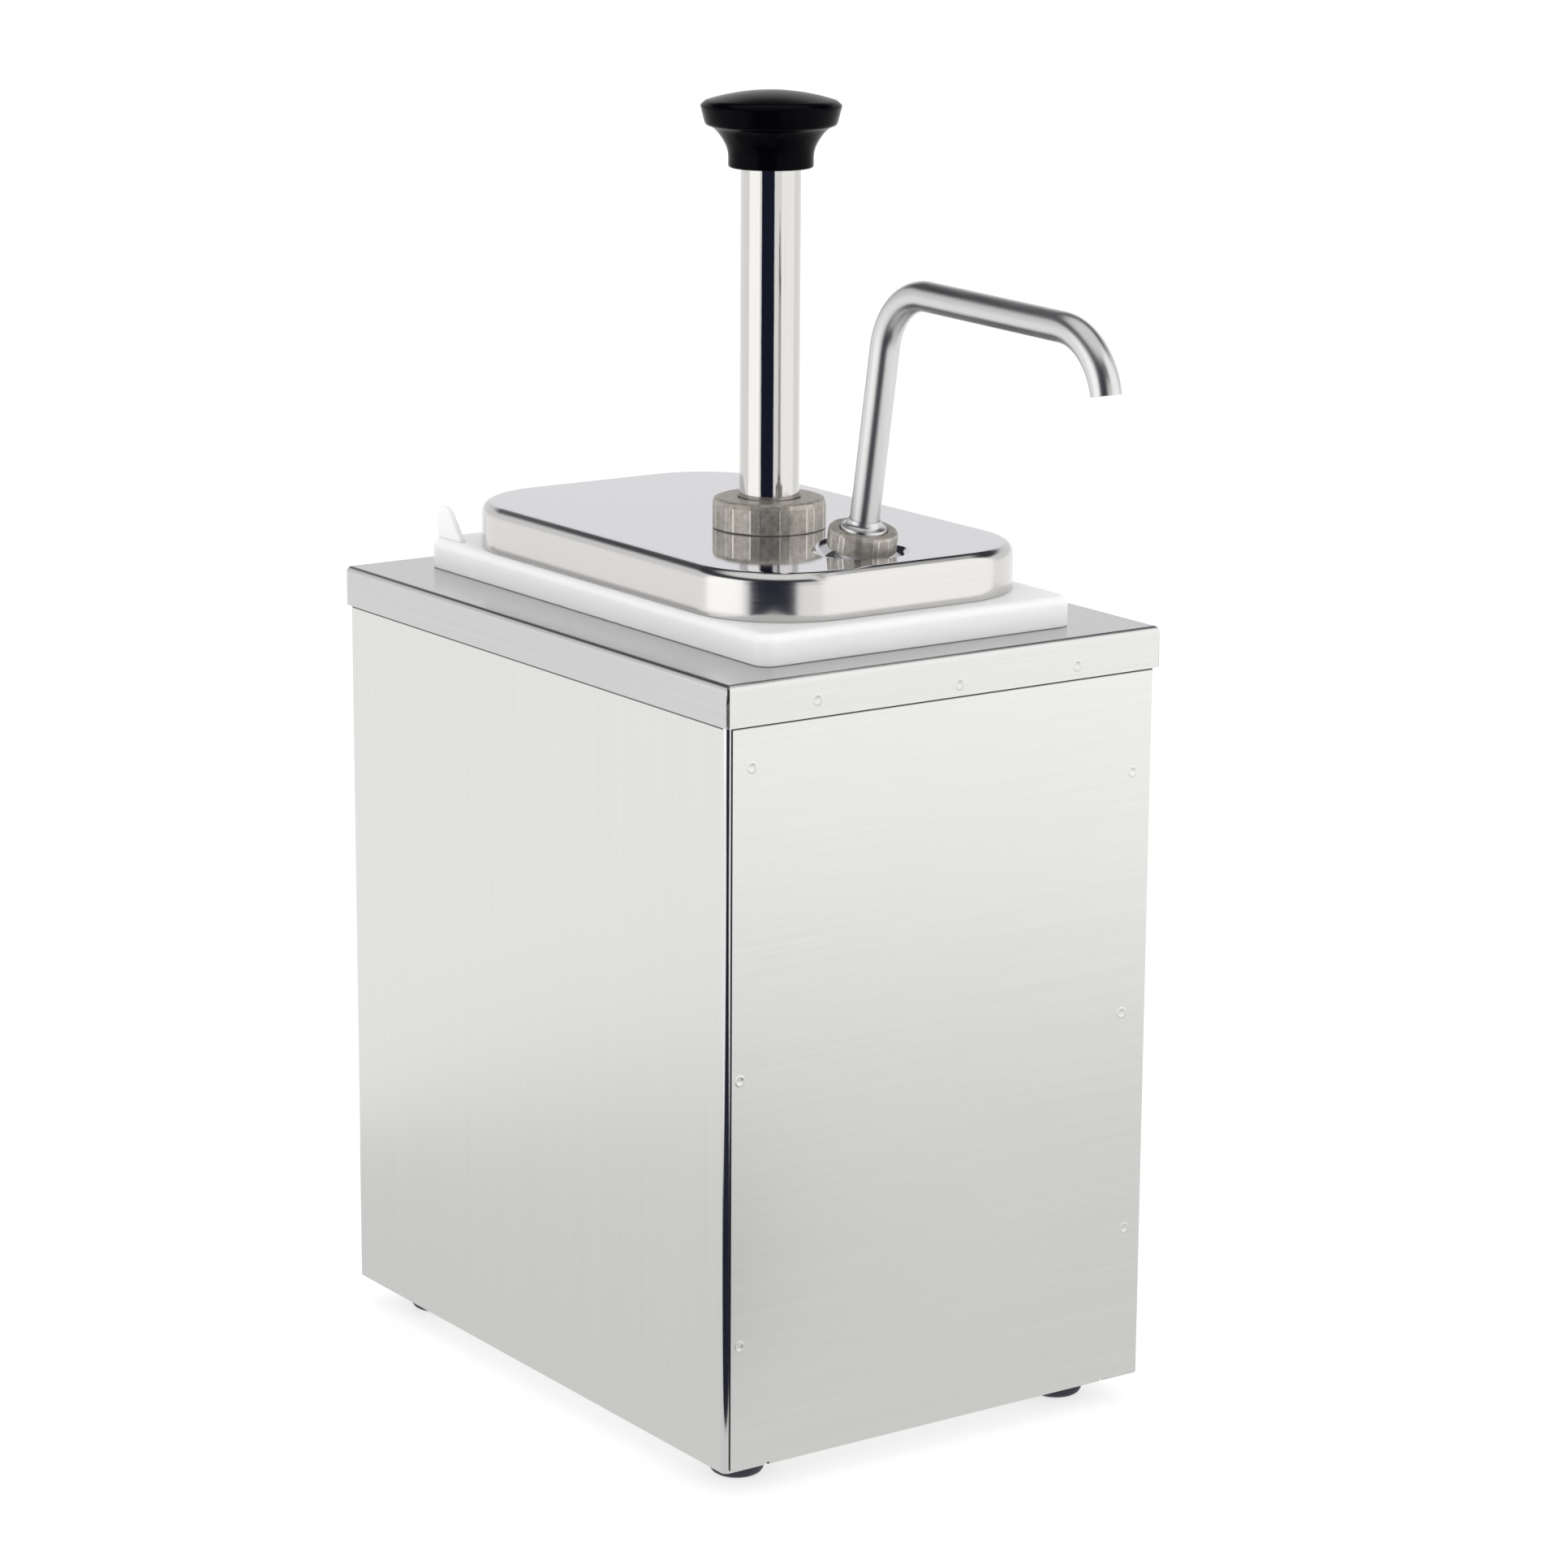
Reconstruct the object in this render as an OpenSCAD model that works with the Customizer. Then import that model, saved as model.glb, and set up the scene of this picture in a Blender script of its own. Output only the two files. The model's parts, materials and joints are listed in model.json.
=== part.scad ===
// Countertop pump dispenser for cheese sauce: a folded sheet-metal cabinet on rubber feet holds
// a lift-out jar, and a hand pump hangs from the jar's lid. All sizes are in millimetres.
// The front faces -Y, and the origin is under the middle of the whole object, on the counter.

/* [Cabinet] */
// Width of the top cover over its skirts
cover_w = 180; // [150:1:220]
// Depth of the top cover over its skirts
cover_d = 249; // [205:1:300]
// Height of the body without its feet, up to the top of the cover
body_h = 272; // [226:1:330]
// Thickness of the folded sheet
sheet = 0.9; // [0.7:0.1:1.2]
// Outside radius of the sheet's bends
bend_r = 2.2; // [1.8:0.1:3]
// Height of the cover's turned-down skirts
skirt_h = 14.4; // [10:0.2:20]
// Open slit between two skirts at a corner
seam_gap = 0.8; // [0.4:0.1:1.5]
// Width of the flanges that the front panel is welded to
flange_w = 16; // [12:1:24]
// How far the front panel's edges stay inside the body's sides
panel_inset = 1.8; // [1:0.1:4]
// Depth of the front panel's fold under the body
return_d = 12; // [8:1:18]
// Height of the base plate's upturned lips
lip_h = 10; // [6:1:16]
// Play between sheets that slide into each other
sheet_play = 0.2; // [0.1:0.05:0.4]

/* [Feet] */
// Height of the gap under the body
foot_h = 10; // [7:0.5:16]
// Diameter of a rubber foot
foot_d = 19; // [15:0.5:23]
// Radius of the foot's lower edge
foot_edge = 3; // [2:0.5:4]
// From the body's side to a foot's middle
foot_in_x = 20; // [15:1:30]
// From the body's front or back to a foot's middle
foot_in_y = 23; // [23:1:40]
// Thread of the foot screws
screw_d = 4; // [3:0.5:5]
// Play around a screw in its hole
screw_play = 0.2; // [0.1:0.05:0.4]

/* [Jar] */
// Cover left bare on each side of the jar's rim
margin_x = 25; // [20:1:32]
// Cover left bare in front of and behind the jar's rim
margin_y = 16.5; // [14:0.5:25]
// Height of the jar's turned-down rim
rim_h = 10.8; // [8:0.2:15]
// Corner radius of the rim
rim_r = 6; // [4:0.5:16]
// Wall of the jar and of its rim
jar_wall = 2.5; // [1.8:0.1:3.5]
// Depth of the jar below the cover
jar_depth = 200; // [165:1:240]
// How much narrower each side of the jar is at the bottom
jar_draft = 4; // [1:0.5:8]
// Play between the jar and the cover's opening
jar_play = 1.5; // [1:0.1:3]
// Height of the lip that the lid fits over
lip_rise = 3; // [2:0.5:5]
// Height of the two ears at the back of the rim
ear_h = 11.5; // [6:0.5:14]
// Length of an ear
ear_l = 16.5; // [12:0.5:20]
// Thickness of an ear
ear_t = 2.5; // [2:0.1:3.5]

/* [Lid] */
// Rim left bare on each side of the lid
lid_margin_x = 2.5; // [2:0.5:5]
// Rim left bare in front of and behind the lid
lid_margin_y = 8.5; // [6:0.5:12]
// How far the lid's edge overlaps the rim's flat top, inwards to the jar's mouth
lid_land = 6; // [5:0.5:8]
// Height of the lid
lid_h = 16.5; // [12:0.5:22]
// Corner radius of the lid
lid_r = 35.5; // [25:0.5:45]
// Thickness of the lid's sheet
lid_sheet = 0.9; // [0.7:0.1:1.2]

/* [Pump] */
// Diameter of the plunger tube
tube_d = 21; // [17:0.5:26]
// Wall of the plunger tube
tube_wall = 1.2; // [0.8:0.1:2]
// Travel of the plunger
stroke = 60; // [50:1:80]
// Bare tube between the lock nut and the knob, at rest
bare_tube = 114.8; // [95:0.2:140]
// Wall of the guide bush
bush_wall = 3.5; // [2.5:0.5:5]
// Length of the guide bush
bush_l = 18; // [14:1:24]
// Wall of the barrel
barrel_wall = 3; // [2.5:0.5:4]
// Wall of the barrel's threaded neck
neck_wall = 2.5; // [2:0.5:3]
// Wall between the neck's thread and the lock nut's corners
nut_wall = 4; // [3:0.5:6]
// Height of the lock nut
nut_h = 10.7; // [8:0.1:14]
// Thickness of the lock nut's top
nut_web = 3; // [2:0.5:4]
// Turn of the lock nut where it is tight, in degrees
nut_turn = 11.5; // [0:0.5:30]
// Gap around the plunger tube in the lock nut
nut_gap = 0.5; // [0.3:0.1:1]
// Sides of both cast nuts
nut_sides = 12; // [8:1:12]
// Running clearance of a sliding fit, on the radius
run_fit = 0.05; // [0.02:0.01:0.1]
// Play between fixed pieces that fit together, on the radius
seat_fit = 0.05; // [0.02:0.01:0.1]
// Thickness of the seals and gaskets
seal_t = 1; // [0.8:0.1:1.5]
// Height of the piston
piston_h = 12; // [10:1:18]
// Wire of the return spring
wire_d = 1.8; // [1.4:0.1:2.2]
// Turns of the return spring
coils = 8; // [6:1:9]
// Diameter of the inlet's check ball
inlet_ball_d = 12; // [10:0.5:13]
// Diameter of the outlet's check ball
outlet_ball_d = 10; // [9:0.5:11]
// Gap between the inlet nozzle and the jar's floor
floor_gap = 6; // [4:0.5:10]

/* [Knob] */
// Diameter of the knob
knob_d = 48.8; // [42:0.2:60]
// Height of the knob
knob_h = 26.3; // [24:0.1:32]
// Rise of the knob's domed top
dome_h = 4; // [3:0.1:6]
// Wall of the knob's neck around the tube
knob_wall = 4.25; // [3:0.25:6]

/* [Discharge tube] */
// Diameter of the discharge tube
spout_d = 10.25; // [8:0.25:13]
// Wall of the discharge tube
spout_wall = 0.9; // [0.7:0.1:1.2]
// Forward lean of the riser and the tube, in degrees
lean = 10; // [8:0.5:12]
// From the lid's front edge to the discharge tube
port_inset = 27.2; // [24:0.2:35]
// Between the barrel's outside and the riser's middle, at the manifold
riser_clear = 5.5; // [5.5:0.1:11]
// Diameter of the riser tube
riser_d = 12; // [11:0.5:13]
// Height of the tube's top corner over the lid
spout_rise = 91.3; // [80:0.1:120]
// Straight length between the two bends
spout_run = 72; // [50:1:110]
// Radius of the two bends, on the middle line
spout_bend = 24; // [20:1:30]
// Slope of the run down towards the outlet, in degrees
run_slope = 1.2; // [0:0.1:5]
// Turn of the bend at the outlet, in degrees
outlet_turn = 77; // [50:1:85]
// Wall between the outlet's thread and its nut's corners
port_nut_wall = 3.3; // [2.5:0.1:5]
// Turn of the outlet nut where it is tight, in degrees
port_nut_turn = 17; // [0:0.5:30]

/* [Hidden] */
$fn = 64;

eps = 0.01;
over = 1;                      // how far a cutting solid runs past a face

// Cabinet
body_w = cover_w - 2 * sheet;
body_d = cover_d - 2 * sheet;
cover_z = foot_h + body_h;
body_top = cover_z - sheet - sheet_play;
plate_z = foot_h + sheet;      // underside of the base plate
foot_x = body_w / 2 - foot_in_x;
foot_y = body_d / 2 - foot_in_y;
head_d = 2 * screw_d;
head_h = 0.65 * screw_d;
head_z = 1.4;                  // the screw heads sit this far above the counter
washer_d = 2.25 * screw_d;
washer_h = 0.8;
nut_m_h = 0.8 * screw_d;
nut_m_d = 2.02 * screw_d;      // across corners

// Jar
rim_w = cover_w - 2 * margin_x;
rim_d = cover_d - 2 * margin_y;
rim_z = cover_z + rim_h;
lid_w = rim_w - 2 * lid_margin_x;
lid_d = rim_d - 2 * lid_margin_y;
mouth_w = lid_w - 2 * lid_land;
mouth_d = lid_d - 2 * lid_land;
mouth_r = lid_r - lid_land;
jar_hole_w = mouth_w + 2 * jar_wall + 2 * jar_play;
jar_hole_d = mouth_d + 2 * jar_wall + 2 * jar_play;
jar_z = cover_z - jar_depth;
jar_floor = jar_z + jar_wall;

// Lid and the pump's two axes
lid_z = rim_z + lid_h;
port_y = -lid_d / 2 + port_inset;
nozzle_z = jar_floor + floor_gap;
nozzle_h = 17.5;
base_z = nozzle_z + nozzle_h;              // underside of the manifold
seat_z = base_z + 8;                       // the inlet ball's seat
chamber_h = inlet_ball_d + 2;
barrel_z = seat_z + chamber_h;             // the barrel's foot and the spring seat
cross_z = seat_z + chamber_h / 2;          // the passage between the two valves
bore_d = tube_d + 2 * bush_wall;
barrel_d = bore_d + 2 * barrel_wall;
riser_gap = barrel_d / 2 + riser_clear;    // between the two axes
pump_y = port_y + (lid_z - cross_z) * tan(lean) + riser_gap;

// Barrel, nut and plunger
neck_d = bore_d + 2 * neck_wall;
nut_d = neck_d + 2 * nut_wall;
shoulder_d = barrel_d + 12;
shoulder_h = 3;
neck_top = lid_z + nut_h - nut_web - 0.3;
bush_z = neck_top - bush_l;
seat_plate_h = 1.5;
spring_z = barrel_z + seat_plate_h;
spring_spare = 3.4;
piston_z = spring_z + coils * wire_d + spring_spare + stroke;
piston_d = bore_d - 2 * run_fit;
tube_z = piston_z + piston_h;
knob_z = lid_z + nut_h + bare_tube;
socket_h = 12;
tube_top = knob_z + socket_h;
tube_in = tube_d - 2 * tube_wall;
collar_h = 8;
collar_z = bush_z - 0.3 - collar_h;
plug_h = 10;
stud_d = 8;
insert_d = 13;
insert_h = 9;
piston_screw_d = 6;
piston_head_h = 3;
groove_in = bore_d - 4;                    // the piston's seal groove
groove_h = 4;
groove_z = piston_z + 4;
spigot_h = 10;                             // the piston's spigot inside the plunger tube
spring_d = bore_d - 6;                     // middle of the wire

// Ball seats: a ball rests on the edge of a round hole
inlet_hole = 0.66 * inlet_ball_d;
inlet_rest = sqrt(pow(inlet_ball_d / 2, 2) - pow(inlet_hole / 2, 2));
chamber_d = inlet_ball_d + 4;
nozzle_neck_d = chamber_d + 6;
nozzle_foot_d = nozzle_neck_d + 6;
nozzle_wall = 2;
nozzle_web = 3;                            // the seat's thickness over the nozzle's wide bore
nozzle_slot = 4;                           // width and height of the cross slots at its foot
barrel_socket_h = 12;                      // depth of the manifold's socket for the barrel
riser_wall = 1.5;
riser_in = riser_d - 2 * riser_wall;
outlet_hole = 0.7 * outlet_ball_d;
outlet_rest = sqrt(pow(outlet_ball_d / 2, 2) - pow(outlet_hole / 2, 2));

// Along the leaning axis, measured from the lid's top
cross_s = -(lid_z - cross_z) / cos(lean);
outlet_s = cross_s + 11;                   // the outlet ball's seat
outlet_lift = 3;
riser_s = outlet_s + outlet_rest + outlet_lift + 0.25
    + sqrt(pow(outlet_ball_d / 2, 2) - pow(riser_in / 2, 2));
boss_d = riser_d + 6;
boss_top = riser_s + 9;
boss_foot = cross_s - 9;
dish_s = -1.2;                             // floor of the lid's tilted dish
nut_s = 1;                                 // underside of the discharge nut
ferrule_s = 5;
collar_d = spout_d + 5.8;
flange_d = collar_d + 2;
thread_d = flange_d;
port_nut_d = thread_d + 2 * port_nut_wall;
port_nut_h = 7.2;
dish_d = port_nut_d + 6.4;
fitting_s = -16;                           // underside of the fitting
fitting_socket_h = 12;                     // depth of the fitting's socket for the riser
washer_t = 0.8;                            // the washer under the ferrule

// The discharge tube's middle line in the plane x = 0: u runs forward, z up, from the lid
first_turn = 90 - lean + run_slope;
straight_l = spout_rise / cos(lean) - spout_bend * tan(first_turn / 2);
run_angle = lean + first_turn;
end_angle = run_angle + outlet_turn;
outlet_bend_u = straight_l * sin(lean)
    + spout_bend * (cos(lean) - cos(run_angle))
    + spout_run * sin(run_angle)
    + spout_bend * cos(run_angle);
spout_reach = outlet_bend_u - (spout_bend + spout_d / 2) * cos(min(end_angle, 180));
front_y = port_y - spout_reach;
origin_shift = -(front_y + cover_d / 2) / 2;

// ---- Shared shapes ----

// A rectangle with round corners, centred on the origin
module round_rect(w, d, r) {
    square([w - 2 * r, d], center = true);
    square([w, d - 2 * r], center = true);
    for (sx = [-1, 1], sy = [-1, 1])
        translate([sx * (w / 2 - r), sy * (d / 2 - r)]) circle(r);
}

// Points of the same rectangle as a polygon, for walls with a draft
function round_rect_points(w, d, r, steps = 6) = [
    for (q = [0:3]) for (i = [0:steps])
        let (a = 90 * (q + i / steps),
             cx = (q == 0 || q == 3 ? 1 : -1) * (w / 2 - r),
             cy = (q < 2 ? 1 : -1) * (d / 2 - r))
            [cx + r * cos(a), cy + r * sin(a)]
];

// A plain block standing on z, centred in x and y
module block(w, d, h, z) {
    translate([0, 0, z]) linear_extrude(h) square([w, d], center = true);
}

// A ring standing on z
module ring(outer, inner, h, z) {
    translate([0, 0, z]) difference() {
        cylinder(d = outer, h = h);
        translate([0, 0, -over]) cylinder(d = inner, h = h + 2 * over);
    }
}

module at_pump() { translate([0, pump_y, 0]) children(); }

// The leaning axis of the riser and the discharge tube, with its zero on the lid's top
module at_port() { translate([0, port_y, lid_z]) rotate([lean, 0, 0]) children(); }

module at_feet() {
    for (sx = [-1, 1], sy = [-1, 1]) translate([sx * foot_x, sy * foot_y, 0]) children();
}

// A cast many-sided nut with a chamfered top edge
module cast_nut_blank(across, h, chamfer) {
    flat = across / 2 * cos(180 / nut_sides);
    intersection() {
        linear_extrude(h) circle(d = across, $fn = nut_sides);
        rotate_extrude() polygon([
            [0, 0], [across / 2 + over, 0], [across / 2 + over, h - chamfer - over * 0.6],
            [flat - chamfer, h], [0, h]
        ]);
    }
}

// ---- Cabinet ----

module cabinet_wrap() color("silver") {
    wrap_d = body_d - sheet;   // the flanges lie one sheet behind the front face
    difference() {
        translate([0, sheet / 2, foot_h]) linear_extrude(body_top - foot_h) difference() {
            round_rect(body_w, wrap_d, bend_r);
            round_rect(body_w - 2 * sheet, wrap_d - 2 * sheet, bend_r - sheet);
        }
        translate([0, -body_d / 2, foot_h - over])
            linear_extrude(body_h + 2 * over)
                square([body_w - 2 * flange_w, 4 * sheet + 2 * over], center = true);
    }
}

module front_panel() color("gainsboro") {
    panel_w = body_w - 2 * panel_inset;
    translate([-panel_w / 2, -body_d / 2, foot_h]) {
        cube([panel_w, sheet, body_top - foot_h]);
        translate([flange_w, 0, 0]) cube([panel_w - 2 * flange_w, return_d, sheet]);
    }
}

module top_cover() color("silver") difference() {
    intersection() {
        translate([0, cover_d / 2, cover_z - skirt_h]) rotate([90, 0, 0])
            linear_extrude(cover_d) cover_outline(cover_w);
        translate([-cover_w / 2, 0, cover_z - skirt_h]) rotate([90, 0, 90])
            linear_extrude(cover_w) cover_outline(cover_d);
    }
    block(body_w, body_d, skirt_h, cover_z - skirt_h - sheet);
    translate([0, 0, cover_z - skirt_h]) linear_extrude(skirt_h + over)
        round_rect(jar_hole_w, jar_hole_d, mouth_r);
    for (sx = [-1, 1], sy = [-1, 1])
        translate([sx * cover_w / 2, sy * cover_d / 2, cover_z - skirt_h - over])
            rotate([0, 0, sx * sy * 45])
                linear_extrude(skirt_h + over - bend_r) square([4 * bend_r, seam_gap], center = true);
}

// The cover's cross-section with rounded top edges, standing on the x axis
module cover_outline(w) {
    translate([0, (skirt_h - bend_r) / 2]) square([w, skirt_h - bend_r], center = true);
    translate([0, skirt_h / 2]) square([w - 2 * bend_r, skirt_h], center = true);
    for (s = [-1, 1]) translate([s * (w / 2 - bend_r), skirt_h - bend_r]) circle(bend_r);
}

// A tray with lips along its sides and its back, which stops behind the front flanges
module base_plate() color("darkgray") difference() {
    plate_w = body_w - 2 * sheet - 2 * sheet_play;
    plate_d = body_d - 2 * sheet - 2 * sheet_play;
    translate([0, 0, plate_z]) linear_extrude(lip_h) round_rect(plate_w, plate_d, bend_r);
    translate([0, 0, plate_z + sheet]) linear_extrude(lip_h)
        round_rect(plate_w - 2 * sheet, plate_d - 2 * sheet, bend_r - sheet);
    translate([0, -body_d / 2, plate_z - over]) linear_extrude(lip_h + 2 * over)
        square([body_w, 4 * sheet + 2 * sheet_play], center = true);
    translate([0, -plate_d / 2, plate_z + sheet]) linear_extrude(lip_h)
        square([plate_w - 2 * sheet, 6 * sheet], center = true);
    at_feet() translate([0, 0, plate_z - over])
        cylinder(d = screw_d + 2 * screw_play, h = sheet + 2 * over);
}

module foot() color("#14141c") rotate_extrude() difference() {
    union() {
        translate([0, foot_edge]) square([foot_d / 2, plate_z - foot_edge]);
        square([foot_d / 2 - foot_edge, plate_z]);
        translate([foot_d / 2 - foot_edge, foot_edge]) circle(foot_edge);
    }
    square([screw_d / 2 + screw_play, plate_z + over]);
    square([head_d / 2 + screw_play, head_z + head_h]);
}

module foot_front_left() { translate([-foot_x, -foot_y, 0]) foot(); }
module foot_front_right() { translate([foot_x, -foot_y, 0]) foot(); }
module foot_back_left() { translate([-foot_x, foot_y, 0]) foot(); }
module foot_back_right() { translate([foot_x, foot_y, 0]) foot(); }

module foot_screws() color("lightgray") at_feet() translate([0, 0, head_z]) {
    cylinder(d = head_d, h = head_h);
    cylinder(d = screw_d, h = plate_z + sheet + washer_h + nut_m_h + 2 - head_z);
}

module foot_washers() color("lightgray")
    at_feet() ring(washer_d, screw_d + 2 * screw_play, washer_h, plate_z + sheet);

module foot_nuts() color("lightgray")
    at_feet() translate([0, 0, plate_z + sheet + washer_h]) difference() {
        cylinder(d = nut_m_d, h = nut_m_h, $fn = 6);
        translate([0, 0, -over]) cylinder(d = screw_d + 2 * seat_fit, h = nut_m_h + 2 * over);
    }

// ---- Jar ----

module jar() color("white") {
    outer_w = mouth_w + 2 * jar_wall;
    outer_d = mouth_d + 2 * jar_wall;
    difference() {
        union() {
            difference() {
                translate([0, 0, cover_z]) linear_extrude(rim_h) round_rect(rim_w, rim_d, rim_r);
                translate([0, 0, cover_z - over]) linear_extrude(rim_h - jar_wall + over)
                    round_rect(rim_w - 2 * jar_wall, rim_d - 2 * jar_wall, rim_r - jar_wall);
            }
            drafted(outer_w, outer_d, mouth_r + jar_wall, jar_z, rim_z + lip_rise);
            for (s = [-1, 1]) translate([s * (rim_w / 2 - 3.5 - ear_t / 2), rim_d / 2 - 1, rim_z])
                ear();
        }
        drafted(mouth_w, mouth_d, mouth_r, jar_floor, rim_z + lip_rise + eps);
    }
}

// Walls that narrow by the draft from top to bottom
module drafted(w, d, r, z0, z1) {
    low_w = w - 2 * jar_draft;
    low_d = d - 2 * jar_draft;
    translate([0, 0, z0]) linear_extrude(z1 - z0, scale = [w / low_w, d / low_d], slices = 1)
        polygon(round_rect_points(low_w, low_d, r - jar_draft / 2));
}

// A fin with its upright edge at the back, standing on the rim
module ear() {
    top_r = 3;
    rotate([90, 0, -90]) translate([0, 0, -ear_t / 2]) linear_extrude(ear_t) polygon(concat(
        [[0, -0.5]],
        [for (i = [0:4]) let (a = 180 - i * 22.5) [top_r + top_r * cos(a), ear_h - top_r + top_r * sin(a)]],
        [[top_r + 3, ear_h - 0.8], [ear_l, 0], [ear_l, -0.5]]
    ));
}

// ---- Lid ----

// A deep-drawn pan turned upside down, with a leaning dish pressed into its top for the tube
module lid() color("lightgray") difference() {
    union() {
        difference() {
            translate([0, 0, rim_z]) linear_extrude(lid_h) round_rect(lid_w, lid_d, lid_r);
            translate([0, 0, rim_z - over]) linear_extrude(lid_h - lid_sheet + over)
                round_rect(lid_w - 2 * lid_sheet, lid_d - 2 * lid_sheet, lid_r - lid_sheet);
            at_port() cylinder(d = dish_d, h = 4 * lid_sheet + dish_d * sin(lean), center = true);
        }
        at_port() translate([0, 0, dish_s - lid_sheet]) cylinder(d = dish_d + 2 * lid_sheet, h = lid_sheet);
        intersection() {
            at_port() ring(dish_d + 2 * lid_sheet, dish_d, dish_d * sin(lean), dish_s - lid_sheet);
            block(lid_w, 2 * lid_d, lid_h / 2, lid_z - lid_h / 2);
        }
    }
    at_pump() translate([0, 0, lid_z - 2 * lid_sheet])
        cylinder(d = neck_d + 2 * screw_play, h = 4 * lid_sheet);
    at_port() translate([0, 0, dish_s - 2 * lid_sheet])
        cylinder(d = thread_d + 2 * screw_play, h = 4 * lid_sheet);
}

module lid_gasket() color("dimgray")
    at_pump() ring(shoulder_d - 2, neck_d + 2 * screw_play, seal_t, lid_z - lid_sheet - seal_t);

// ---- Pump, fixed to the lid ----

module pump_barrel() color("lightgray") at_pump() difference() {
    shoulder_z = lid_z - lid_sheet - seal_t - shoulder_h;
    union() {
        translate([0, 0, barrel_z]) cylinder(d = barrel_d, h = shoulder_z - barrel_z);
        translate([0, 0, shoulder_z]) cylinder(d = shoulder_d, h = shoulder_h);
        translate([0, 0, shoulder_z]) cylinder(d = neck_d, h = neck_top - shoulder_z);
    }
    translate([0, 0, barrel_z - over]) cylinder(d = bore_d, h = neck_top - barrel_z + 2 * over);
}

module pump_nut() color("#8f8b84") at_pump() translate([0, 0, lid_z]) difference() {
    rotate([0, 0, nut_turn]) cast_nut_blank(nut_d, nut_h, 1.8);
    translate([0, 0, -over]) cylinder(d = neck_d + 2 * seat_fit, h = nut_h - nut_web + over);
    cylinder(d = tube_d + 2 * nut_gap, h = nut_h + over);
}

module guide_bush() color("whitesmoke")
    at_pump() ring(bore_d - 2 * seat_fit, tube_d + 2 * run_fit, bush_l, bush_z);

module manifold() color("darkgray") difference() {
    union() {
        at_pump() translate([0, 0, base_z])
            cylinder(d = barrel_d + 8, h = barrel_z + barrel_socket_h - base_z);
        at_port() translate([0, 0, boss_foot]) cylinder(d = boss_d, h = boss_top - boss_foot);
    }
    at_pump() {
        translate([0, 0, barrel_z]) cylinder(d = barrel_d + 2 * seat_fit, h = barrel_socket_h + over);
        translate([0, 0, seat_z]) cylinder(d = chamber_d, h = chamber_h + over);
        translate([0, 0, base_z - over])
            cylinder(d = nozzle_neck_d + 2 * seat_fit, h = seat_z - base_z + over);
    }
    translate([0, pump_y, cross_z]) rotate([90, 0, 0]) cylinder(d = outlet_hole - 1, h = riser_gap);
    at_port() {
        translate([0, 0, cross_s]) cylinder(d = outlet_hole, h = outlet_s - cross_s + over);
        translate([0, 0, outlet_s]) cylinder(d = riser_d + 2 * seat_fit, h = boss_top - outlet_s + over);
    }
}

module inlet_nozzle() color("darkgray") at_pump() difference() {
    union() {
        translate([0, 0, nozzle_z]) cylinder(d = nozzle_foot_d, h = nozzle_h - seal_t);
        translate([0, 0, nozzle_z]) cylinder(d = nozzle_neck_d, h = seat_z - nozzle_z);
    }
    translate([0, 0, nozzle_z - over]) cylinder(d = inlet_hole, h = seat_z - nozzle_z + 2 * over);
    translate([0, 0, nozzle_z - over])
        cylinder(d = nozzle_neck_d - 2 * nozzle_wall, h = nozzle_h - nozzle_web + over);
    for (a = [0, 90]) rotate([0, 0, a])
        translate([0, 0, nozzle_z + nozzle_slot / 2 - over / 2])
            linear_extrude(nozzle_slot + over, center = true)
                square([nozzle_foot_d + 2 * over, nozzle_slot], center = true);
}

module nozzle_oring() color("dimgray")
    at_pump() ring(nozzle_neck_d + 5, nozzle_neck_d + 2 * seat_fit, seal_t, base_z - seal_t);

module spring_seat() color("silver") at_pump() difference() {
    drain_d = 3;
    ring(bore_d - 4 * run_fit - 4 * seat_fit, inlet_hole, seat_plate_h, barrel_z);
    for (a = [0:60:300]) rotate([0, 0, a])
        translate([(inlet_hole + spring_d - wire_d) / 4, 0, barrel_z - over])
            cylinder(d = drain_d, h = seat_plate_h + 2 * over);
}

// A point on the coil's wire: step i along the coil, side j around the wire
function coil_point(i, j, rise) =
    let (a = 360 * i / coil_steps, b = 360 * j / wire_sides,
         r = spring_d / 2 + wire_d / 2 * cos(b))
        [r * cos(a), r * sin(a), rise * i / (coils * coil_steps) + wire_d / 2 * sin(b)];
coil_steps = 14;
wire_sides = 8;

// An open coil of round wire between the spring seat and the piston
module return_spring() color("silver") at_pump() translate([0, 0, spring_z + wire_d / 2 + 0.05]) {
    rise = piston_z - spring_z - wire_d - 0.1;
    rings = coils * coil_steps;
    sides = wire_sides;
    polyhedron(
        [for (i = [0:rings]) for (j = [0:sides - 1]) coil_point(i, j, rise)],
        concat(
            [for (i = [0:rings - 1]) for (j = [0:sides - 1]) let (k = (j + 1) % sides)
                [i * sides + j, (i + 1) * sides + j, (i + 1) * sides + k, i * sides + k]],
            [[for (j = [0:sides - 1]) j], [for (j = [sides - 1:-1:0]) rings * sides + j]]
        ),
        convexity = 10
    );
}

module riser_tube() color("silver")
    at_port() ring(riser_d, riser_in, fitting_s + fitting_socket_h - riser_s, riser_s);

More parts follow.
